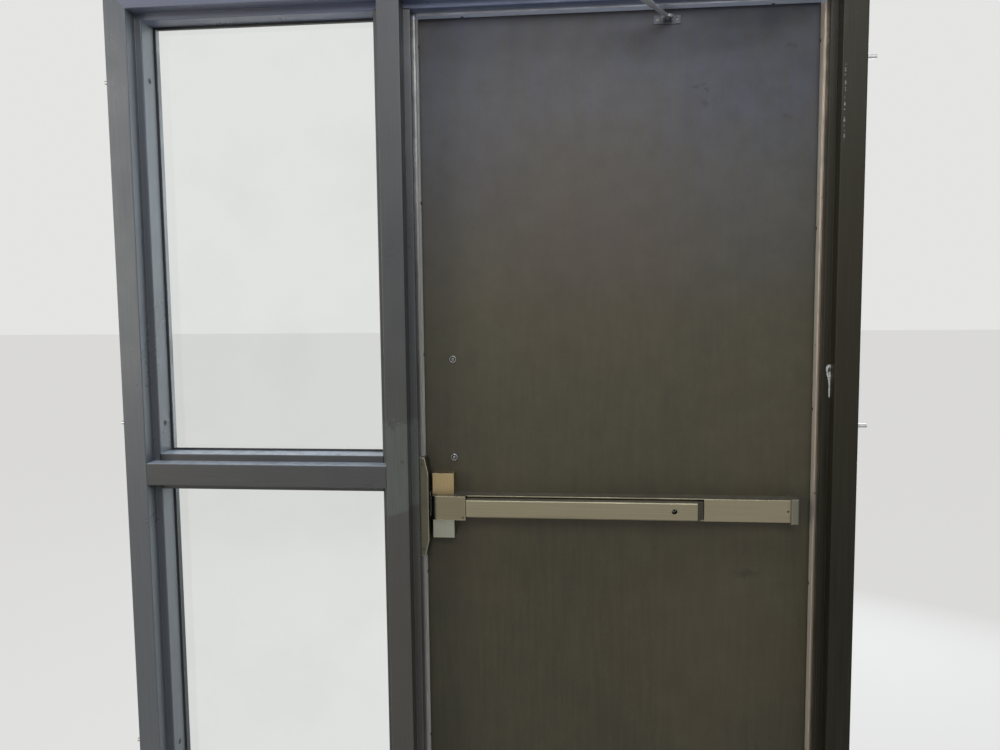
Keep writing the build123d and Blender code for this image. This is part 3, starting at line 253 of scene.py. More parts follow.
def new_effect(build, **inputs):
    """A shader node group named after the function that builds its mask from a Vector and the inputs."""
    group = bpy.data.node_groups.new(build.__name__.replace("_", " ").capitalize(), "ShaderNodeTree")
    for label, value in {"Vector": (0, 0, 0), **inputs}.items():
        kind = "NodeSocketVector" if isinstance(value, tuple) else "NodeSocketFloat"
        group.interface.new_socket(label, in_out="INPUT", socket_type=kind).default_value = value
    group.interface.new_socket("Mask", in_out="OUTPUT", socket_type="NodeSocketFloat")
    tree = Tree(group)
    given = group.nodes.new("NodeGroupInput").outputs
    tree.feed(group.nodes.new("NodeGroupOutput").inputs["Mask"], build(tree, given))


def cloudy_patches(tree, given):
    return tree.share(tree.noise(given["Vector"], given["Scale"], 5), given["Low"], given["High"])


def long_strokes(tree, given):
    """Strokes of a brush or a grinding belt: Stretch is how often they vary along each axis."""
    stretched = tree.vector("MULTIPLY", given["Vector"], given["Stretch"])
    return tree.share(tree.noise(stretched, 1, 3), given["Low"], given["High"])


def worn_edges(tree, given):
    """Bare and broken along edges: where a rounded normal leaves the flat one."""
    rounded = tree.node("Bevel", {"Radius": given["Radius"]}, samples=4).outputs["Normal"]
    alike = tree.vector("DOT_PRODUCT", rounded, tree.node("NewGeometry").outputs["Normal"])
    broken = tree.share(tree.noise(given["Vector"], given["Scale"], 6), given["Low"], given["High"])
    return tree.times(tree.share(alike, 0.995, 0.9), broken)


def settled_dust(tree, given):
    """Thin dust on what faces upwards."""
    upward = tree.share(tree.axes(tree.node("NewGeometry").outputs["Normal"])["Z"], 0.6, 0.95)
    thin = tree.share(tree.noise(given["Vector"], given["Scale"], 5), 0.05, 0.55)
    return tree.times(upward, thin)


def soft_mark(tree, given):
    """One blot round Centre, as large as Size, with a ragged rim."""
    apart = tree.vector("SUBTRACT", given["Vector"], given["Centre"])
    far = tree.vector("LENGTH", tree.vector("DIVIDE", apart, given["Size"]))
    rough = tree.math("SUBTRACT", tree.noise(given["Vector"], given["Scale"], 5), 0.5)
    far = tree.math("MULTIPLY_ADD", rough, given["Ragged"], far)
    return tree.share(far, 1.0, given["Core"])


def small_flecks(tree, given):
    """Scattered small flecks, in a share of the cells of a pattern."""
    cells = tree.node("TexVoronoi", {"Vector": given["Vector"], "Scale": given["Scale"]}).outputs
    pick = tree.math("LESS_THAN", cells["Color"], given["Share"])
    return tree.times(tree.share(cells["Distance"], 0.32, 0.18), pick)


def make_effects():
    new_effect(cloudy_patches, Scale=4.0, Low=0.35, High=0.65)
    new_effect(long_strokes, Stretch=(400, 400, 8), Low=0.3, High=0.7)
    new_effect(worn_edges, Radius=0.0012, Scale=60.0, Low=0.45, High=0.62)
    new_effect(settled_dust, Scale=40.0)
    new_effect(soft_mark, Centre=(0, 0, 0), Size=(0.01, 0.01, 0.01), Scale=90.0, Ragged=0.6, Core=0.6)
    new_effect(small_flecks, Scale=150.0, Share=0.1)


# Finishes


def shade(colour, factor):
    """A colour times a factor, or times one for each of its parts."""
    factors = factor if isinstance(factor, tuple) else (factor,) * 3
    return [min(1.0, part * each) for part, each in zip(colour, factors)]


def touched_up(look, colour):
    """The fresh patch across a member, with a slanting lower edge and a ragged upper one."""
    x, _, z = look.axes(look.place).values()
    slant, level, rag = 0.33, -0.483, 0.022
    lower = look.math("MULTIPLY_ADD", x, slant, TOUCH_UP[0] - slant * level)
    above = look.share(look.math("SUBTRACT", z, lower), -0.002, 0.004)
    ragged = look.math("MULTIPLY_ADD", look.clouds(130), rag, z)
    below = look.share(ragged, TOUCH_UP[1] + 0.014, TOUCH_UP[1] + 0.004)
    stripes = look.strokes((220, 220, 9), 0.1, 0.7)
    look.over(colour, look.times(look.times(above, below), stripes))


def scraped(look, colour):
    """A broken bright line where something rubbed along a member's edge."""
    x, _, z = look.axes(look.place).values()
    across, low, high = SCRAPE
    sway = 0.0022
    wander = look.math("MULTIPLY_ADD", look.clouds(60), sway, x)
    off_line = look.math("ABSOLUTE", look.math("SUBTRACT", wander, across + sway / 2))
    span = look.times(look.share(z, low, low + 0.02), look.share(z, high, high - 0.005))
    broken = look.strokes((40, 40, 190), 0.48, 0.58)
    look.over(colour, look.times(look.times(look.share(off_line, 0.0018, 0.0004), span), broken))


def frame_paint(name, colour, low=None, span=("Z", 0.85, 1.6), upright=True, smudges=(), patched=False,
                worn=False, shine=0.5):
    """Brushed enamel on the frame: streaks, dull patches, worn edges and dust.

    The low colour is the enamel's tone before the start of the span, which is an axis and two places on it.
    Shine is how much the enamel mirrors: 0.5 is semi-gloss.
    """
    look = Finish(name, colour, shine=shine)
    look.tone = low or colour
    streaks = look.strokes((260, 260, 5) if upright else (5, 260, 260))
    clouds = look.clouds(7)
    look.over(colour, look.share(look.axes(look.place)[span[0]], *span[1:]))
    look.over(0.6, clouds, 0.25)
    look.over(1.5, streaks, 0.35)
    if patched:
        touched_up(look, shade(colour, (1.75, 1.95, 1.65)))
    look.marks(smudges, 0.55, strength=0.6, ragged=1.6, core=0.2)
    look.over(2.3, "Worn edges", 0.55)
    look.over(2.0, "Small flecks", 0.4, Scale=110, Share=0.03)
    if worn:
        scraped(look, (0.24, 0.23, 0.2))
    # Pale bluish dust on faces that point up, laid strong: dust, and painted light on the rail's daylit top.
    look.over((0.46, 0.5, 0.56), "Settled dust", 0.7)
    look.roughness(0.27, 0.46, clouds)
    peel = look.clouds(420, 0.2, 0.8)
    return look.done((streaks, 0.00006), (peel, 0.00004), edge=0.002)


def leaf_paint(name, colour, cool, low, warm, marks=True):
    """The door's rolled and brushed enamel, with strokes and scuffs, painted shade low down and painted cool
    light at the top.
    """
    look = Finish(name, colour, shine=0.35)
    look.tone = low
    height = look.axes(look.place)["Z"]
    strokes = look.strokes((90, 90, 7), 0.35, 0.65)
    fine = look.strokes((900, 900, 120))
    clouds = look.clouds(3.2, 0.36, 0.64)
    mottle = look.clouds(24, 0.32, 0.68)
    # Painted light by height: shade towards the bottom from the low colour, cool light towards the top.
    look.over(colour, look.share(height, 0.75, 1.55))
    look.over(cool, look.share(height, 1.45, 2.15))
    look.over(warm, look.clouds(2.1, 0.48, 0.66), 0.4)
    look.over(shade(colour, (1.25, 1.45, 1.2)), clouds, 0.32)
    look.over(1.4, strokes, 0.28)
    look.over(0.5, mottle, 0.34)
    look.over(1.6, fine, 0.2)
    if marks:
        look.marks(WARM_PATCHES, warm, 0.35, ragged=0.6, core=0.0)
        look.marks(SCUFFS, 0.4, strength=0.6, ragged=3.2, core=0.1)
    look.over(2.2, "Worn edges", 0.5)
    look.over((0.24, 0.22, 0.19), "Settled dust", 0.6)
    look.roughness(0.47, 0.5, mottle)
    return look.done((strokes, 0.00004), (fine, 0.00002), edge=0.0015)


def ground_metal(name, colour, stretch, roughness=0.36, dirt=0.25, rust=0.0, edge=0.0008, edge_wear_and_highlight=None,
                 marks=(), painted_shade_end=None, settled=DUST):
    """Metal with the lines of its grinding, dull patches, and edges that are lighter from wear and from a
    painted highlight where they catch the light.

    An end can be darkened with painted shade where it turns away from the light, between two places across,
    from lit to dark.
    """
    look = Finish(name, colour, 0.86, metallic=1.0)
    lines = look.strokes(stretch)
    clouds = look.clouds(14)
    look.over(1.08, lines)
    look.over(0.66, clouds, dirt)
    if rust:
        look.over((0.17, 0.075, 0.03), look.clouds(55, 0.56, 0.66), rust)
    # Lighter edges: wear, and a painted highlight where edges catch the light; a given edge colour makes it
    # bright.
    rubbed, low = (0.9, 0.15) if edge_wear_and_highlight else (0.7, 0.3)
    look.over(edge_wear_and_highlight or shade(colour, 1.9), "Worn edges", rubbed, Radius=edge, Low=low, High=0.55)
    look.marks(marks, (0.02, 0.018, 0.014), 0.9, ragged=1.2, core=0.3)
    # Painted shade on an end that turns away from the light.
    if painted_shade_end:
        look.over((0.022, 0.023, 0.027), look.share(look.axes(look.place)["X"], *painted_shade_end))
    dust = look.times(look.mask("Settled dust"), settled[1])
    look.over(settled[0], dust)
    look.set("Metallic", look.math("SUBTRACT", 1.0, dust))
    look.roughness(roughness - 0.07, roughness + 0.12, clouds)
    return look.done((lines, 0.00002), (clouds, 0.00002), edge=edge)


def latch_case_metal(upper, lower):
    """The latch case's metal: bronze toned above the touch bar and pale below."""
    look = Finish("Latch case metal", upper, metallic=1.0)
    look.tone = lower
    lines = look.strokes((600, 600, 9))
    clouds = look.clouds(30)
    look.over(upper, look.share(look.axes(look.place)["Z"], DEVICE_Z - 0.02, DEVICE_Z + 0.02))
    look.over((0.3, 0.29, 0.2), clouds, 0.4)
    look.over(0.6, lines, 0.4)
    look.over(shade(upper, (1.3, 1.5, 2.0)), "Worn edges", 0.7, Radius=0.0025, Low=0.3)
    look.roughness(0.33, 0.5, clouds)
    return look.done((lines, 0.00003), edge=0.0012)


def drawn_strip(colour, warm):
    """Drawn aluminium, greyer on the latch side, with dark nicks, and a chalky bloom on its fluted face that
    is also a painted highlight.
    """
    look = Finish("Drawn aluminium", colour, metallic=1.0)
    x, y, z = look.axes(look.place).values()
    right = look.share(x, 0.41, 0.42)
    head = look.share(z, STRIP_HIGH.z - 0.014, STRIP_HIGH.z - 0.012)
    fluted = look.share(y, STRIP_LOW.y + 0.002, STRIP_LOW.y + 0.0028)
    upright = look.strokes((600, 600, 5))
    level = look.strokes((5, 600, 600))
    lines = look.math("ADD", look.times(upright, look.math("SUBTRACT", 1.0, head)), look.times(level, head))
    clouds = look.clouds(16)
    look.over(warm, right)
    look.over((0.33, 0.36, 0.43), head)
    look.over(0.45, clouds, 0.45)
    look.over(1.7, lines, 0.25)
    # The fluted face's bloom: chalky, and a painted highlight, pale and less metallic, bluish along the head.
    bloom = look.lay((0.68, 0.67, 0.63), (0.44, 0.4, 0.32), right)
    bloom = look.lay(bloom, (0.6, 0.68, 0.86), head)
    bloom = look.lay(bloom, shade(colour, 1.4), look.times(lines, 0.35))
    look.over(bloom, fluted, 0.85)
    look.set("Metallic", look.math("MULTIPLY_ADD", fluted, -0.75, 1.0))
    look.marks(STRIP_NICKS, (0.03, 0.026, 0.02), 0.9, ragged=1.2, core=0.3)
    look.over(1.6, "Worn edges", 0.6, Radius=0.0006)
    look.roughness(0.3, 0.52, clouds)
    return look.done((lines, 0.00003), edge=0.0006)


def closer_paint(name, colour):
    """Sprayed silver enamel: fine metallic flecks and a light orange peel."""
    look = Finish(name, colour, 0.85, metallic=0.35)
    clouds = look.clouds(12)
    look.over(1.1, clouds)
    look.over(1.6, "Small flecks", 0.5, Scale=1500, Share=0.4)
    look.over(1.8, "Worn edges", 0.4)
    look.over((0.3, 0.29, 0.27), "Settled dust", 0.5)
    look.roughness(0.34, 0.5, clouds)
    peel = look.clouds(500, 0.2, 0.8)
    return look.done((peel, 0.00004), edge=0.001)


def soft_rubber(name, colour):
    """Rubber with a dusty bloom and fine moulding grain."""
    look = Finish(name, colour, 0.8)
    bloom = look.clouds(26)
    look.over(1.5, bloom, 0.6)
    look.over((0.26, 0.25, 0.23), "Settled dust", 0.6)
    look.roughness(0.6, 0.85, bloom)
    return look.done((look.clouds(900, 0.3, 0.7), 0.00003))


def moulded_plastic(name, colour, settled=PALE_DUST):
    """Plastic with a fine spark texture, handled smooth at its edges."""
    look = Finish(name, colour, 0.88)
    spark = look.clouds(1100, 0.3, 0.7)
    look.over(1.08, look.clouds(18))
    look.over(1.5, "Worn edges", 0.4, Radius=0.0008)
    look.over(settled[0], "Settled dust", settled[1])
    look.roughness(0.38, 0.55, spark)
    return look.done((spark, 0.00003), edge=0.0008)


def wound_tape(colour):
    """The coil's varnished tape, in turns along its height."""
    look = Finish("Coil tape", colour, 0.7)
    turns = look.strokes((4, 4, 500), 0.45, 0.55)
    look.over(1.5, turns)
    look.set("Roughness", 0.5)
    return look.done((turns, 0.0001))


def dried_filler():
    """Pale filler, with painted shade in the hollow of its front."""
    look = Finish("Dried filler", (0.16, 0.16, 0.15))
    mottle = look.clouds(300)
    # Painted shade in the hollow of the dab's front.
    hollow = [(DAB_PLACE + Vector((-0.0018, -0.004, 0.001)), (0.0042, 0.02, 0.008))]
    look.over((0.5, 0.5, 0.48), mottle)
    look.marks(hollow, (0.015, 0.015, 0.013), 0.95, ragged=0.8, core=0.5)
    look.set("Roughness", 0.3)
    return look.done((mottle, 0.0004))


def clear_glass(colour):
    """Float glass with a faint film of dust. Light for shadows goes straight through."""
    look = Finish("Clear glass", colour)
    look.set("IOR", 1.45)
    look.set("Transmission Weight", 1.0)
    film = look.clouds(5, 0.45, 0.75)
    look.over(0.96, film)
    look.roughness(0.0, 0.025, film)
    light = look.node("LightPath").outputs
    passes = look.math("MAXIMUM", light["Is Shadow Ray"], light["Is Diffuse Ray"])
    look.swap(look.node("BsdfTransparent", {"Color": colour}).outputs["BSDF"], passes)
    return look.done()


def dress(material, *nodes):
    """Give CAD nodes a material in all of their slots."""
    for name in nodes:
        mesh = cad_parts[name].data
        if not mesh.materials:
            mesh.materials.append(material)
        for index in range(len(mesh.materials)):
            mesh.materials[index] = material


def stock(name):
    """A material that an earlier operator has made."""
    return bpy.data.materials[name]


# Shapes


def mesh_of(name, points, faces):
    mesh = bpy.data.meshes.new(name)
    mesh.from_pydata(points, [], faces)
    mesh.validate()
    return mesh


def banded(name, points, rings, steps):
    """A mesh of the bands between neighbouring rings of points, where a ring can be one point."""
    faces = []
    for low, high in zip(rings, rings[1:]):
        for step in range(steps):
            corners = (low, step), (low, step + 1), (high, step + 1), (high, step)
            faces.append(tuple(dict.fromkeys(ring[at % len(ring)] for ring, at in corners)))
    return mesh_of(name, points, faces)


def turned(name, profile, steps=28):
    """A mesh turned round Z. Its profile of radius and height ends on the axis, and can start there."""
    points, rings = [], []
    for radius, height in profile:
        count = 1 if radius == 0 else steps
        rings.append(range(len(points), len(points) + count))
        for step in range(count):
            angle = 2 * pi * step / steps
            points.append((radius * cos(angle), radius * sin(angle), height))
    return banded(name, points, rings, steps)


def crossed_head(name, dome):
    """A round screw head of radius 1 with a cross recess, dome high, standing on Z = 0."""
    rings, reach, half_width, depth = 7, 0.58, 0.14, 0.6
    radii = [ring / rings for ring in range(rings, 0, -1)]
    profile = [(radius, dome * sqrt(1 - 0.93 * radius ** 2)) for radius in radii]
    head = turned(name, profile + [(0, dome * 0.35)], 32)
    for point in head.vertices[:-1]:
        across = sorted(abs(part) for part in point.co[:2])
        if across[1] < reach and across[0] < half_width:
            point.co.z -= dome * depth
    return head


def ring_mesh(low, high, width):
    """A closed rectangular ring that stands between two corners, thin along Y."""
    points = []
    for inset, y in ((0, low[1]), (width, low[1]), (width, high[1]), (0, high[1])):
        left, right, bottom, top = low[0] + inset, high[0] - inset, low[2] + inset, high[2] - inset
        points += [(left, y, bottom), (right, y, bottom), (right, y, top), (left, y, top)]
    return banded("ring", points, [range(first, first + 4) for first in (0, 4, 8, 12, 0)], 4)


def bolt_profile(radius, rise, reach):
    """Radius and height of a through bolt: a ring, a groove and a socket, on a shank through the door."""
    shank, under = 0.004, -0.0001
    head = [(1.0, 0.45), (0.95, 0.75), (0.86, 1.0), (0.72, 0.95), (0.68, 0.05), (0.4, 0.05), (0.37, 0.8),
            (0.28, 0.95), (0.16, 0.9), (0.14, 0.3), (0, 0.3)]
    return ([(0, -reach), (shank, -reach), (shank, under), (radius, under)]
            + [(radius * out, rise * up) for out, up in head])


def dab_of_filler(size):
    """A lump with a hollow in its front, slumped to one side, and a run that hangs below it."""
    profile = [(0, -2.68), (0.13, -2.67), (0.17, -2.6), (0.17, -2.2), (0.16, -1.6), (0.15, -1.05),
               (0.2, -0.8), (0.33, -0.45), (0.38, -0.1), (0.36, 0.25), (0.25, 0.5), (0.12, 0.59), (0, 0.6)]
    lump = turned("dab", profile, 24)
    for point in lump.vertices:
        place = point.co
        swell = 1 + 0.18 * sin(5 * place.z + 2 * place.x) + 0.12 * sin(9 * place.x - 4 * place.y)
        hollow = max(0.0, 1 - ((place.x + 0.05) ** 2 / 0.04 + place.z ** 2 / 0.09))
        place.x = place.x * swell - 0.03 * place.z
        place.y = place.y * swell * 0.75 + (0.38 * hollow if place.y < 0 else 0)
    return stood(lump, DAB_PLACE, size=size)


def stood(mesh, place, facing=(0, 0, 1), size=1.0):
    """Size a mesh, turn it from Z to facing and move it to its place."""
    turn = Vector((0, 0, 1)).rotation_difference(Vector(facing)).to_matrix().to_4x4()
    mesh.transform(Matrix.Translation(place) @ turn @ Matrix.Scale(size, 4))
    return mesh


def joined(name, meshes):
    """One mesh from several."""
    points, faces = [], []
    for mesh in meshes:
        start = len(points)
        points += [tuple(v.co) for v in mesh.vertices]
        faces += [[start + v for v in face.vertices] for face in mesh.polygons]
    return mesh_of(name, points, faces)


def linked(name, data):
    """A new object in the scene."""
    made = bpy.data.objects.new(name, data)
    bpy.context.scene.collection.objects.link(made)
    return made


def piece(name, mesh, body, material=None, smooth=True):
    """Put a finished mesh in the scene, on its body."""
    if material:
        mesh.materials.append(material)
    mesh.polygons.foreach_set("use_smooth", [smooth] * len(mesh.polygons))
    made = linked(name, mesh)
    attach(made, body)
    return made


# Screws in rows, by Geometry Nodes


def make_screw_rows():
    """A tree that sets heads along lines: evenly by a pitch, square to the surface, turned at random."""
    tree = bpy.data.node_groups.new("Screw rows", "GeometryNodeTree")
    given = {"Geometry": "Geometry", "Head": "Object", "Pitch": "Float", "Radius": "Float",
             "Seed": "Int", "Finish": "Material"}
    for label, kind in given.items():
        tree.interface.new_socket(label, in_out="INPUT", socket_type="NodeSocket" + kind)
    tree.interface.new_socket("Geometry", in_out="OUTPUT", socket_type="NodeSocketGeometry")
    curve, spaced, placed, rotate, real, paint, facing, head = [
        tree.nodes.new("GeometryNode" + kind) for kind in (
            "MeshToCurve", "ResampleCurve", "InstanceOnPoints", "RotateInstances", "RealizeInstances",
            "SetMaterial", "InputNamedAttribute", "ObjectInfo")]
    entry, leave, align, spin, around = [tree.nodes.new(kind) for kind in (
        "NodeGroupInput", "NodeGroupOutput", "FunctionNodeAlignRotationToVector",
        "FunctionNodeRandomValue", "ShaderNodeCombineXYZ")]
    spaced.mode = "LENGTH"
    facing.data_type = "FLOAT_VECTOR"
    facing.inputs["Name"].default_value = "facing"
    spin.inputs["Max"].default_value = pi
    chain = (entry, curve, spaced, placed, rotate, real, paint, leave)
    for before, after in zip(chain, chain[1:]):
        tree.links.new(before.outputs[0], after.inputs[0])
    links = [(entry, "Pitch", spaced, "Length"), (entry, "Radius", placed, "Scale"),
             (entry, "Head", head, "Object"), (head, "Geometry", placed, "Instance"),
             (facing, "Attribute", align, "Vector"), (align, "Rotation", placed, "Rotation"),
             (entry, "Seed", spin, "Seed"), (spin, "Value", around, "Z"),
             (around, "Vector", rotate, "Rotation"), (entry, "Finish", paint, "Material")]
    for start, output, end, taken in links:
        tree.links.new(start.outputs[output], end.inputs[taken])


def screw_rows(name, rows, pitch, radius, dome, material, body="frame"):
    """Crossed heads along rows. Each row has its two ends and the way that its heads face."""
    base = bpy.data.meshes.new(name + "_rows")
    ends = [end for row in rows for end in row[:2]]
    base.from_pydata(ends, [(i, i + 1) for i in range(0, len(ends), 2)], [])
    facing = base.attributes.new("facing", "FLOAT_VECTOR", "POINT")
    facing.data.foreach_set("vector", [part for row in rows for _ in range(2) for part in row[2]])
    line, pattern = linked(name + "_rows", base), linked(name + "_head", crossed_head(name + "_head", dome))
    values = {"Head": pattern, "Pitch": pitch, "Radius": radius, "Seed": len(rows), "Finish": material}
    modifier = line.modifiers.new("Screw rows", "NODES")
    modifier.node_group = bpy.data.node_groups["Screw rows"]
    for item in modifier.node_group.interface.items_tree:
        if item.in_out == "INPUT" and item.name in values:
            modifier[item.identifier] = values[item.name]
    graph = bpy.context.evaluated_depsgraph_get()
    mesh = bpy.data.meshes.new_from_object(line.evaluated_get(graph))
    line.modifiers.clear()
    for used in (line, pattern):
        bpy.data.objects.remove(used)
    return piece(name, mesh, body)


# Stage


def seen_rays(tree):
    """1 for what the camera sees, straight, mirrored or through glass, and 0 for light on things."""
    light = tree.node("LightPath").outputs
    seen = tree.math("MAXIMUM", light["Is Camera Ray"], light["Is Transmission Ray"])
    return tree.math("MAXIMUM", seen, light["Is Glossy Ray"])


def floor_of_stage(colour):
    """A wide pale floor under the object, much of it lit evenly where it is seen."""
    look = Finish("Stage floor", colour, shine=0.0)
    look.over(0.97, look.clouds(2))
    look.set("Roughness", 0.9)
    look.swap(look.node("Emission", {"Color": colour}).outputs["Emission"], look.times(seen_rays(look), 0.88))
    corners = [(x * FLOOR_REACH, y * FLOOR_REACH, 0) for x, y in ((-1, -1), (1, -1), (1, 1), (-1, 1))]
    mesh = mesh_of("floor", corners, [(0, 1, 2, 3)])
    mesh.materials.append(look.done())
    linked("floor", mesh)


def background(colour):
    """A dim even light all round, and a pale backdrop for what the camera, metal and glass see."""
    world = bpy.data.worlds.new("Soft surround")
    bpy.context.scene.world = world
    world.use_nodes = True
    tree = Tree(world.node_tree)
    shader = world.node_tree.nodes["Background"]
    tree.feed(shader.inputs["Color"], colour)
    tree.feed(shader.inputs["Strength"], tree.math("MULTIPLY_ADD", seen_rays(tree), 0.58, 0.42))


def soft_lamp(name, place, target, size, power, colour):
    lamp = bpy.data.lights.new(name, "AREA")
    lamp.shape = "RECTANGLE"
    lamp.size, lamp.size_y = size
    lamp.energy = power
    lamp.color = colour
    made = linked(name, lamp)
    made.location = place
    made.rotation_euler = (Vector(target) - Vector(place)).to_track_quat("-Z", "Y").to_euler()
    made.visible_camera = made.visible_transmission = False


def set_camera():
    """The camera where the photograph was taken from."""
    lens = bpy.data.cameras.new("Photograph")
    lens.lens = CAMERA_LENS
    made = linked("Photograph", lens)
    made.matrix_world = Matrix.Translation(CAMERA_PLACE)
    for angle, axis in ((CAMERA_TURN, "Z"), (pi / 2 - CAMERA_TILT, "X"), (CAMERA_ROLL, "Z")):
        made.matrix_world @= Matrix.Rotation(angle, 4, axis)
    bpy.context.scene.camera = made


# What a user would change


def tint(name, description, default):
    return FloatVectorProperty(name=name, description=description, default=default, subtype="COLOR",
                               size=3, min=0.0, max=1.0)


def length(name, description, default):
    return FloatProperty(name=name, description=description, default=default, subtype="DISTANCE",
                         unit="LENGTH", min=0.0005, max=2.0)


class ExitDoorColours(PropertyGroup):
    """Colours of the paints, metals and the floor."""

    latch_jamb: tint("Left jamb", "Enamel of the left jamb", (0.07, 0.076, 0.083))
    post: tint("Mullion", "Enamel of the mullion", (0.039, 0.04, 0.041))
    post_low: tint("Mullion, low", "Warmer enamel low on it", (0.04, 0.036, 0.028))
    rail: tint("Rail", "Enamel of rail, sill and beads", (0.04, 0.04, 0.04))
    header: tint("Header", "Enamel of the header", (0.066, 0.084, 0.15))
    header_left: tint("Header, left", "Greyer enamel above the side light", (0.088, 0.09, 0.108))
    # The right jamb's colours are painted shade: dark overall and darker still low down.
    hinge_jamb: tint("Right jamb", "Its older enamel", (0.024, 0.021, 0.013))
    hinge_jamb_low: tint("Right jamb, low", "Darker enamel low on it", (0.01, 0.009, 0.005))
    leaf: tint("Door", "Enamel of the door", (0.047, 0.04, 0.024))
    # The door's top and low colours are painted light: cool light near the top, shade low down.
    leaf_cool: tint("Door, top", "Cooler enamel near its top", (0.04, 0.049, 0.092))
    leaf_low: tint("Door, low", "Darker enamel low on it", (0.026, 0.024, 0.011))
    leaf_warm: tint("Door, warm", "Its warmer patches", (0.068, 0.046, 0.028))
    device: tint("Exit device", "Satin metal of the exit device", (0.275, 0.245, 0.165))
    head_cover: tint("Head cover", "Its darker satin metal", (0.215, 0.19, 0.125))
    case_top: tint("Case, above", "Bronze tone above the bar", (0.4, 0.295, 0.15))
    case_low: tint("Case, below", "Pale metal below the bar", (0.31, 0.335, 0.305))
    latch: tint("Latch", "Darkened steel of the latch bolt", (0.075, 0.07, 0.06))
    strike: tint("Strike", "Dark satin metal of the strike", (0.125, 0.115, 0.082))
    strip: tint("Weatherstrip", "Its drawn aluminium", (0.27, 0.265, 0.255))
    strip_warm: tint("Weatherstrip, warm", "Its browner hinge side", (0.37, 0.295, 0.225))
    zinc: tint("Zinc", "Zinc plate of screws, pins and levers", (0.5, 0.5, 0.47))
    steel: tint("Steel", "Bare steel inside the door", (0.36, 0.35, 0.33))
    pull: tint("Pull", "Satin stainless steel of the pull", (0.52, 0.51, 0.48))
    # Dark heads: on the strip screws this is painted shade.
    dull: tint("Dull screws", "Heads of wall anchors and strip screws", (0.07, 0.075, 0.085))
    bolt: tint("Bolt", "Steel of the pull's through bolts", (0.3, 0.3, 0.285))
    closer: tint("Closer", "Silver enamel of the closer", (0.34, 0.34, 0.35))
    shoe: tint("Shoe", "Darker enamel of the closer's shoe", (0.06, 0.063, 0.074))
    rubber: tint("Rubber", "Rubber of tapes, blocks and bulbs", (0.02, 0.02, 0.02))
    bar_end: tint("Bar end", "Moulded end of the touch bar", (0.052, 0.045, 0.031))
    end_cap: tint("End cap", "Moulded cap of the exit device", (0.125, 0.115, 0.08))
    coil: tint("Coil", "Tape of the strike's coil", (0.1, 0.06, 0.03))
    glass: tint("Glass", "Tint of the glass", (0.96, 0.98, 0.97))
    floor: tint("Floor", "Floor of the stage", (0.76, 0.755, 0.745))
    backdrop: tint("Backdrop", "Space behind the object", (0.78, 0.78, 0.77))


class ExitDoorSizes(PropertyGroup):
    """Sizes of the fasteners and marks."""

    strip_pitch: length("Strip screw pitch", "Between the weatherstrip's screws", 0.343)
    strip_radius: length("Strip screw", "Radius of its head", 0.0036)
    lip_height: length("Lip", "How far the glazing rubber stands past the stops", 0.0045)
    bead_pitch: length("Bead screw pitch", "Between the glazing bead's screws", 0.205)
    bead_radius: length("Bead screw", "Radius of its head", 0.0034)
    hinge_radius: length("Hinge screw", "Radius of its head", 0.0048)
    cover_radius: length("Cover screw", "Radius of its head", 0.0024)
    anchor_radius: length("Anchor head", "Radius of its flat head", 0.0065)
    dab_height: length("Dab", "Height of the dab of filler", 0.022)


def chosen(context):
    return context.scene.exitdoor_colours, context.scene.exitdoor_sizes


# Operators


class EXITDOOR_OT_frame(Operator):
    """Paint the frame's members and finish the metal inside them"""

    bl_idname = "exitdoor.frame"
    bl_label = "Frame"

    def execute(self, context):
        colours = context.scene.exitdoor_colours
        dress(frame_paint("Left jamb enamel", colours.latch_jamb), "left_jamb")
        dress(frame_paint("Mullion enamel", colours.post, colours.post_low, smudges=SMUDGES[:3],
                          patched=True), "mullion")
        dress(frame_paint("Rail enamel", colours.rail, upright=False, smudges=SMUDGES[3:]),
              "side_light_rail", "side_light_sill")
        dress(frame_paint("Bead enamel", colours.rail, shine=0.15), "glazing_beads")
        dress(frame_paint("Header enamel", colours.header, colours.header_left, ("X", -0.8, -0.35),
                          upright=False), "header")
        # Painted shade: the right jamb is dark overall and darker still low down.
        dress(frame_paint("Right jamb enamel", colours.hinge_jamb, colours.hinge_jamb_low, worn=True,
                          shine=0.15), "right_jamb")
        dress(ground_metal("Zinc plate", colours.zinc, (120, 120, 120), 0.34),
              "floor_clips", "wall_anchor_bolts", "wall_anchor_saddles")
        dress(ground_metal("Bare steel", colours.steel, (300, 300, 12), 0.42, rust=0.5), "jamb_hinge_plates")
        return {"FINISHED"}


class EXITDOOR_OT_glazing(Operator):
    """Finish the glass, its tapes and its setting blocks"""

    bl_idname = "exitdoor.glazing"
    bl_label = "Glazing"

    def execute(self, context):
        colours = context.scene.exitdoor_colours
        dress(clear_glass(colours.glass), "glass_panes")
        rubber = soft_rubber("Glazing rubber", colours.rubber)
        dress(rubber, "glazing_tapes", "setting_blocks")
        near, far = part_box("glazing_tapes")[0].y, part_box("glass_panes")[0].y
        rings = [ring_mesh((JAMB_HIGH.x, near, bottom), (POST_LOW.x, far, top),
                           context.scene.exitdoor_sizes.lip_height) for bottom, top in LIGHTS]
        piece("glazing_lips", joined("glazing_lips", rings), "frame", rubber, False)
        return {"FINISHED"}


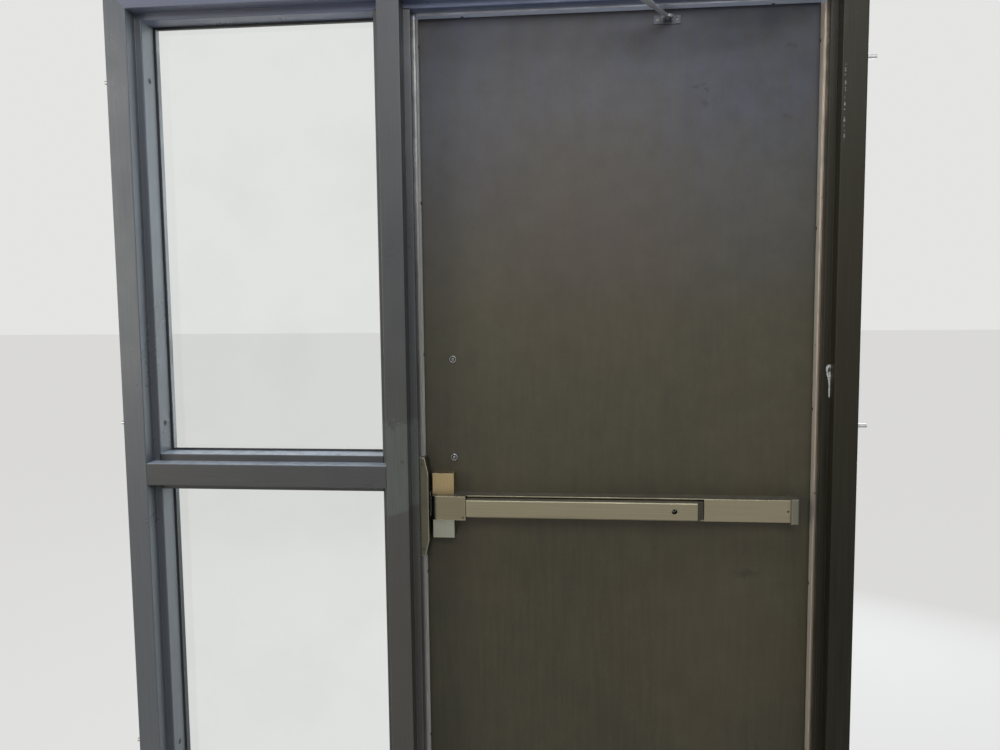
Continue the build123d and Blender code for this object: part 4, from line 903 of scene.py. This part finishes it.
class EXITDOOR_OT_bead_screws(Operator):
    """Set the screws along the glazing beads, outside"""

    bl_idname = "exitdoor.bead_screws"
    bl_label = "Bead screws"

    def execute(self, context):
        sizes = context.scene.exitdoor_sizes
        low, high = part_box("glazing_beads")
        left, right = JAMB_HIGH.x - STOP + BEAD_EDGE / 2, POST_LOW.x + STOP - BEAD_EDGE / 2
        rows = []
        for bottom, top in ((low.z, RAIL_LOW.z + STOP), (RAIL_HIGH.z - STOP, high.z)):
            for x in (left, right):
                rows.append(((x, high.y, bottom + ROW_END), (x, high.y, top - ROW_END), (0, 1, 0)))
            for z in (bottom + STOP / 2, top - STOP / 2):
                rows.append(((left + ROW_END, high.y, z), (right - ROW_END, high.y, z), (0, 1, 0)))
        screw_rows("bead_screws", rows, sizes.bead_pitch, sizes.bead_radius, 0.4, stock("Zinc plate"))
        return {"FINISHED"}


class EXITDOOR_OT_weatherstrip(Operator):
    """Finish the weatherstrip's carriers and bulbs"""

    bl_idname = "exitdoor.weatherstrip"
    bl_label = "Weatherstrip"

    def execute(self, context):
        colours = context.scene.exitdoor_colours
        dress(drawn_strip(colours.strip, colours.strip_warm), "weatherstrip_carriers")
        dress(soft_rubber("Bulb silicone", colours.rubber), "weatherstrip_bulbs")
        return {"FINISHED"}


class EXITDOOR_OT_strip_screws(Operator):
    """Set the screws along the weatherstrip"""

    bl_idname = "exitdoor.strip_screws"
    bl_label = "Strip screws"

    def execute(self, context):
        colours, sizes = chosen(context)
        y = STRIP_LOW.y + 0.78 * (STRIP_HIGH.y - STRIP_LOW.y)
        left, right = STRIP_LOW.x + STRIP_THICKNESS, STRIP_HIGH.x - STRIP_THICKNESS
        top = STRIP_HIGH.z - STRIP_THICKNESS
        highest = top - STRIP_TOP_SCREW
        rows = [((left, y, highest - 2 * sizes.strip_pitch), (left, y, highest), (1, 0, 0)),
                ((left, y, STRIP_LOW.z + 0.05), (left, y, STRIKE_LOW.z - 0.05), (1, 0, 0)),
                ((right, y, STRIP_LOW.z + 0.05), (right, y, top - ROW_END), (-1, 0, 0)),
                ((left + 0.1, y, top), (right - 0.1, y, top), (0, 0, -1))]
        # The strip screws are dark as painted shade: their heads lie in shadow.
        dull = ground_metal("Dull screw", colours.dull, (200, 200, 200), 0.45, dirt=0.7)
        screw_rows("strip_screws", rows, sizes.strip_pitch * 0.99, sizes.strip_radius, 0.5, dull)
        return {"FINISHED"}


class EXITDOOR_OT_leaf(Operator):
    """Paint the door and finish the metal inside it"""

    bl_idname = "exitdoor.leaf"
    bl_label = "Door leaf"

    def execute(self, context):
        colours = context.scene.exitdoor_colours
        tones = colours.leaf, colours.leaf_cool, colours.leaf_low, colours.leaf_warm
        dress(leaf_paint("Door enamel inside", *tones), "inner_skin")
        dress(leaf_paint("Door enamel outside", *tones, marks=False), "outer_skin", "door_end_channels")
        dress(stock("Bare steel"), "stiffeners", "door_backing_plates", "door_hinge_plates")
        return {"FINISHED"}


class EXITDOOR_OT_hinges(Operator):
    """Finish the three hinges and set the screws in their leaves"""

    bl_idname = "exitdoor.hinges"
    bl_label = "Hinges"

    def execute(self, context):
        radius = context.scene.exitdoor_sizes.hinge_radius
        dress(stock("Zinc plate"), "jamb_hinge_leaves", "door_hinge_leaves", "hinge_pins")
        for side, body, x, way in (("jamb", "frame", HINGE_JAMB_HIGH.x - FACE, -1),
                                   ("door", "door", LEAF_HIGH.x, 1)):
            low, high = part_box(side + "_hinge_leaves")
            starts = low.z, (low.z + high.z) / 2 - HINGE_HEIGHT / 2, high.z - HINGE_HEIGHT
            rows = [((x, low.y + edge, start + inset), (x, low.y + edge, start + HINGE_HEIGHT - inset),
                     (way, 0, 0)) for start in starts for edge, inset in HINGE_ROWS]
            for index, row in enumerate(rows):
                pitch = (row[1][2] - row[0][2]) * 0.99
                screw_rows(f"{side}_hinge_screws_{index}", [row], pitch, radius, 0.05,
                           stock("Zinc plate"), body)
        return {"FINISHED"}


class EXITDOOR_OT_exit_device(Operator):
    """Finish the exit device, its mechanism and its small screws"""

    bl_idname = "exitdoor.exit_device"
    bl_label = "Exit device"

    def execute(self, context):
        colours, sizes = chosen(context)
        dress(ground_metal("Satin metal", colours.device, (6, 700, 700), 0.4, edge=0.0016,
                           marks=BAR_NICKS, settled=TOP_GRIME_AND_SHADE),
              "touch_bar", "device_channel", "device_end_cover")
        # Painted shade on the head cover's rounded left end.
        painted_shade_end = HEAD_LOW.x + 0.014, HEAD_LOW.x + 0.008
        # The head cover's cream edge colour is a painted highlight on its edges, with wear.
        dress(ground_metal("Head cover metal", colours.head_cover, (6, 700, 700), 0.42, dirt=0.4,
                           edge=0.0016, edge_wear_and_highlight=(0.8, 0.74, 0.56), painted_shade_end=painted_shade_end, settled=TOP_GRIME_AND_SHADE),
              "device_head_cover")
        dress(latch_case_metal(colours.case_top, colours.case_low), "device_case")
        dress(moulded_plastic("Bar end plastic", colours.bar_end, TOP_GRIME_AND_SHADE), "touch_bar_trim")
        dress(moulded_plastic("End cap plastic", colours.end_cap, TOP_GRIME_AND_SHADE), "device_end_cap")
        dress(stock("Zinc plate"), "crank_left", "crank_right", "crank_brackets", "crank_pins", "drive_rod")
        dress(ground_metal("Latch steel", colours.latch, (12, 300, 300), 0.45), "latch_bolt")
        dress(stock("Bare steel"), "crank_springs", "dogging_screw")
        dark = moulded_plastic("Blackened screw", (0.02, 0.02, 0.02))
        end = (COVER_HIGH.x - COVER_EDGE, COVER_LOW.y, DEVICE_Z)
        joint = (HEAD_HIGH.x - COVER_EDGE, HEAD_LOW.y, HEAD_LOW.z + COVER_EDGE)
        for name, place in (("cover_screw", end), ("head_cover_screw", joint)):
            head = stood(crossed_head(name, 0.35), place, (0, -1, 0), sizes.cover_radius)
            piece(name, head, "door", material=dark)
        return {"FINISHED"}


class EXITDOOR_OT_strike(Operator):
    """Finish the electric strike and set its cover screws"""

    bl_idname = "exitdoor.strike"
    bl_label = "Strike"

    def execute(self, context):
        colours, sizes = chosen(context)
        # The strike's bright edge colour is a painted highlight along its edges, with wear.
        dress(ground_metal("Strike metal", colours.strike, (300, 300, 6), 0.42, edge=0.003,
                           edge_wear_and_highlight=(0.62, 0.6, 0.48)), "strike_body")
        dress(stock("Zinc plate"), "strike_keeper")
        dress(stock("Bare steel"), "strike_keeper_pin")
        dress(wound_tape(colours.coil), "strike_solenoid")
        places = [(STRIKE_LOW.x + COVER_EDGE, STRIKE_LOW.y, z)
                  for z in (STRIKE_LOW.z + 0.016, STRIKE_HIGH.z - 0.016)]
        heads = [stood(crossed_head("strike_head", 0.35), place, (0, -1, 0), sizes.cover_radius)
                 for place in places]
        piece("strike_cover_screws", joined("strike_cover_screws", heads), "frame",
              material=stock("Blackened screw"))
        return {"FINISHED"}


class EXITDOOR_OT_pull(Operator):
    """Finish the pull and turn the heads of its through bolts"""

    bl_idname = "exitdoor.pull"
    bl_label = "Pull"

    def execute(self, context):
        colours = context.scene.exitdoor_colours
        dress(ground_metal("Satin stainless", colours.pull, (400, 400, 10), 0.34), "pull_handle")
        middle, radius = (BOLT_LOW.x + BOLT_HIGH.x) / 2, (BOLT_HIGH.x - BOLT_LOW.x) / 2
        rise = LEAF_LOW.y - BOLT_LOW.y
        profile = bolt_profile(radius, rise, BOLT_HIGH.y - LEAF_LOW.y)
        heads = [stood(turned("bolt_head", profile), Vector((middle, LEAF_LOW.y, z)), (0, -1, 0))
                 for z in (BOLT_LOW.z + radius, BOLT_HIGH.z - radius)]
        mesh = joined("through_bolts", heads)
        bright = ground_metal("Bolt steel", colours.bolt, (150, 150, 150), 0.3, dirt=0.5)
        bolts = piece("through_bolts", mesh, "door", material=bright, smooth=False)
        # The faces sunk in each bolt's socket and facing along Y are near black.
        mesh.materials.append(moulded_plastic("Dark bolt socket", (0.012, 0.011, 0.009)))
        for face in mesh.polygons:
            sunk = LEAF_LOW.y - rise * 0.4 < face.center.y < LEAF_LOW.y + 0.00005
            face.material_index = int(sunk and abs(face.normal.y) > 0.5)
        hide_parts("pull_bolts")
        return {"FINISHED"}


class EXITDOOR_OT_closer(Operator):
    """Finish the closer, its arms and the shoe's screws"""

    bl_idname = "exitdoor.closer"
    bl_label = "Closer"

    def execute(self, context):
        colours, sizes = chosen(context)
        dress(closer_paint("Closer enamel", colours.closer),
              "closer_body", "closer_main_arm", "closer_forearm_tube", "closer_forearm_rod")
        dress(closer_paint("Shoe enamel", colours.shoe), "closer_shoe")
        dress(stock("Zinc plate"), "closer_elbow_bolt", "closer_shoe_pin")
        dress(stock("Bare steel"), "closer_spindle")
        y, z = SHOE_HIGH.y - 0.003, (SHOE_LOW.z + SHOE_HIGH.z) / 2
        left, right = SHOE_LOW.x + 0.008, SHOE_HIGH.x - 0.008
        screw_rows("shoe_screws", [((left, y, z), (right, y, z), (0, -1, 0))], (right - left) * 0.99,
                   sizes.strip_radius, 0.5, stock("Bolt steel"), "door")
        return {"FINISHED"}


class EXITDOOR_OT_anchor_heads(Operator):
    """Set the flat heads of the wall anchors in the left jamb's soffit"""

    bl_idname = "exitdoor.anchor_heads"
    bl_label = "Anchor heads"

    def execute(self, context):
        low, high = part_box("wall_anchor_bolts")
        y, bottom, top = low.y + ANCHOR_SHANK, low.z + ANCHOR_SHANK, high.z - ANCHOR_SHANK
        row = (JAMB_HIGH.x, y, bottom), (JAMB_HIGH.x, y, top), (1, 0, 0)
        screw_rows("anchor_heads", [row], (top - bottom) / 2 * 0.99,
                   context.scene.exitdoor_sizes.anchor_radius, 0.25, stock("Dull screw"))
        return {"FINISHED"}


class EXITDOOR_OT_dab(Operator):
    """Model the dab of filler and its run in the right jamb's corner"""

    bl_idname = "exitdoor.dab"
    bl_label = "Dab of filler"

    def execute(self, context):
        lump = dab_of_filler(context.scene.exitdoor_sizes.dab_height)
        made = piece("filler_dab", lump, "frame", material=dried_filler())
        rounder = made.modifiers.new("Rounder", "SUBSURF")
        rounder.levels = rounder.render_levels = 2
        return {"FINISHED"}


class EXITDOOR_OT_stage(Operator):
    """Lay the floor and set the background, the lamps and the camera"""

    bl_idname = "exitdoor.stage"
    bl_label = "Stage"

    def execute(self, context):
        colours = context.scene.exitdoor_colours
        floor_of_stage(colours.floor)
        background(colours.backdrop)
        for lamp in LAMPS:
            soft_lamp(*lamp)
        set_camera()
        context.scene.view_settings.view_transform = "Standard"
        return {"FINISHED"}


STEPS = (EXITDOOR_OT_stage, EXITDOOR_OT_frame, EXITDOOR_OT_glazing, EXITDOOR_OT_bead_screws,
         EXITDOOR_OT_weatherstrip, EXITDOOR_OT_strip_screws, EXITDOOR_OT_leaf, EXITDOOR_OT_hinges,
         EXITDOOR_OT_exit_device, EXITDOOR_OT_strike, EXITDOOR_OT_pull, EXITDOOR_OT_closer,
         EXITDOOR_OT_anchor_heads, EXITDOOR_OT_dab)


class EXITDOOR_PT_finishes(Panel):
    """The finishes of the exit door"""

    bl_label = "Exit Door"
    bl_idname = "EXITDOOR_PT_finishes"
    bl_space_type = "VIEW_3D"
    bl_region_type = "UI"
    bl_category = "Exit Door"

    def draw(self, context):
        for step in STEPS:
            self.layout.operator(step.bl_idname)
        for group in (context.scene.exitdoor_colours, context.scene.exitdoor_sizes):
            column = self.layout.column()
            for name in group.bl_rna.properties.keys():
                if name not in ("rna_type", "name"):
                    column.prop(group, name)


CLASSES = (ExitDoorColours, ExitDoorSizes, *STEPS, EXITDOOR_PT_finishes)


def register():
    for made in CLASSES:
        bpy.utils.register_class(made)
    Scene.exitdoor_colours = PointerProperty(type=ExitDoorColours)
    Scene.exitdoor_sizes = PointerProperty(type=ExitDoorSizes)


def unregister():
    del Scene.exitdoor_sizes
    del Scene.exitdoor_colours
    for made in reversed(CLASSES):
        bpy.utils.unregister_class(made)


def main():
    register()
    make_effects()
    make_screw_rows()
    bpy.ops.exitdoor.stage()
    bpy.ops.exitdoor.frame()
    bpy.ops.exitdoor.glazing()
    bpy.ops.exitdoor.bead_screws()
    bpy.ops.exitdoor.weatherstrip()
    bpy.ops.exitdoor.strip_screws()
    bpy.ops.exitdoor.leaf()
    bpy.ops.exitdoor.hinges()
    bpy.ops.exitdoor.exit_device()
    bpy.ops.exitdoor.strike()
    bpy.ops.exitdoor.pull()
    bpy.ops.exitdoor.closer()
    bpy.ops.exitdoor.anchor_heads()
    bpy.ops.exitdoor.dab()


if __name__ == "__main__":
    main()
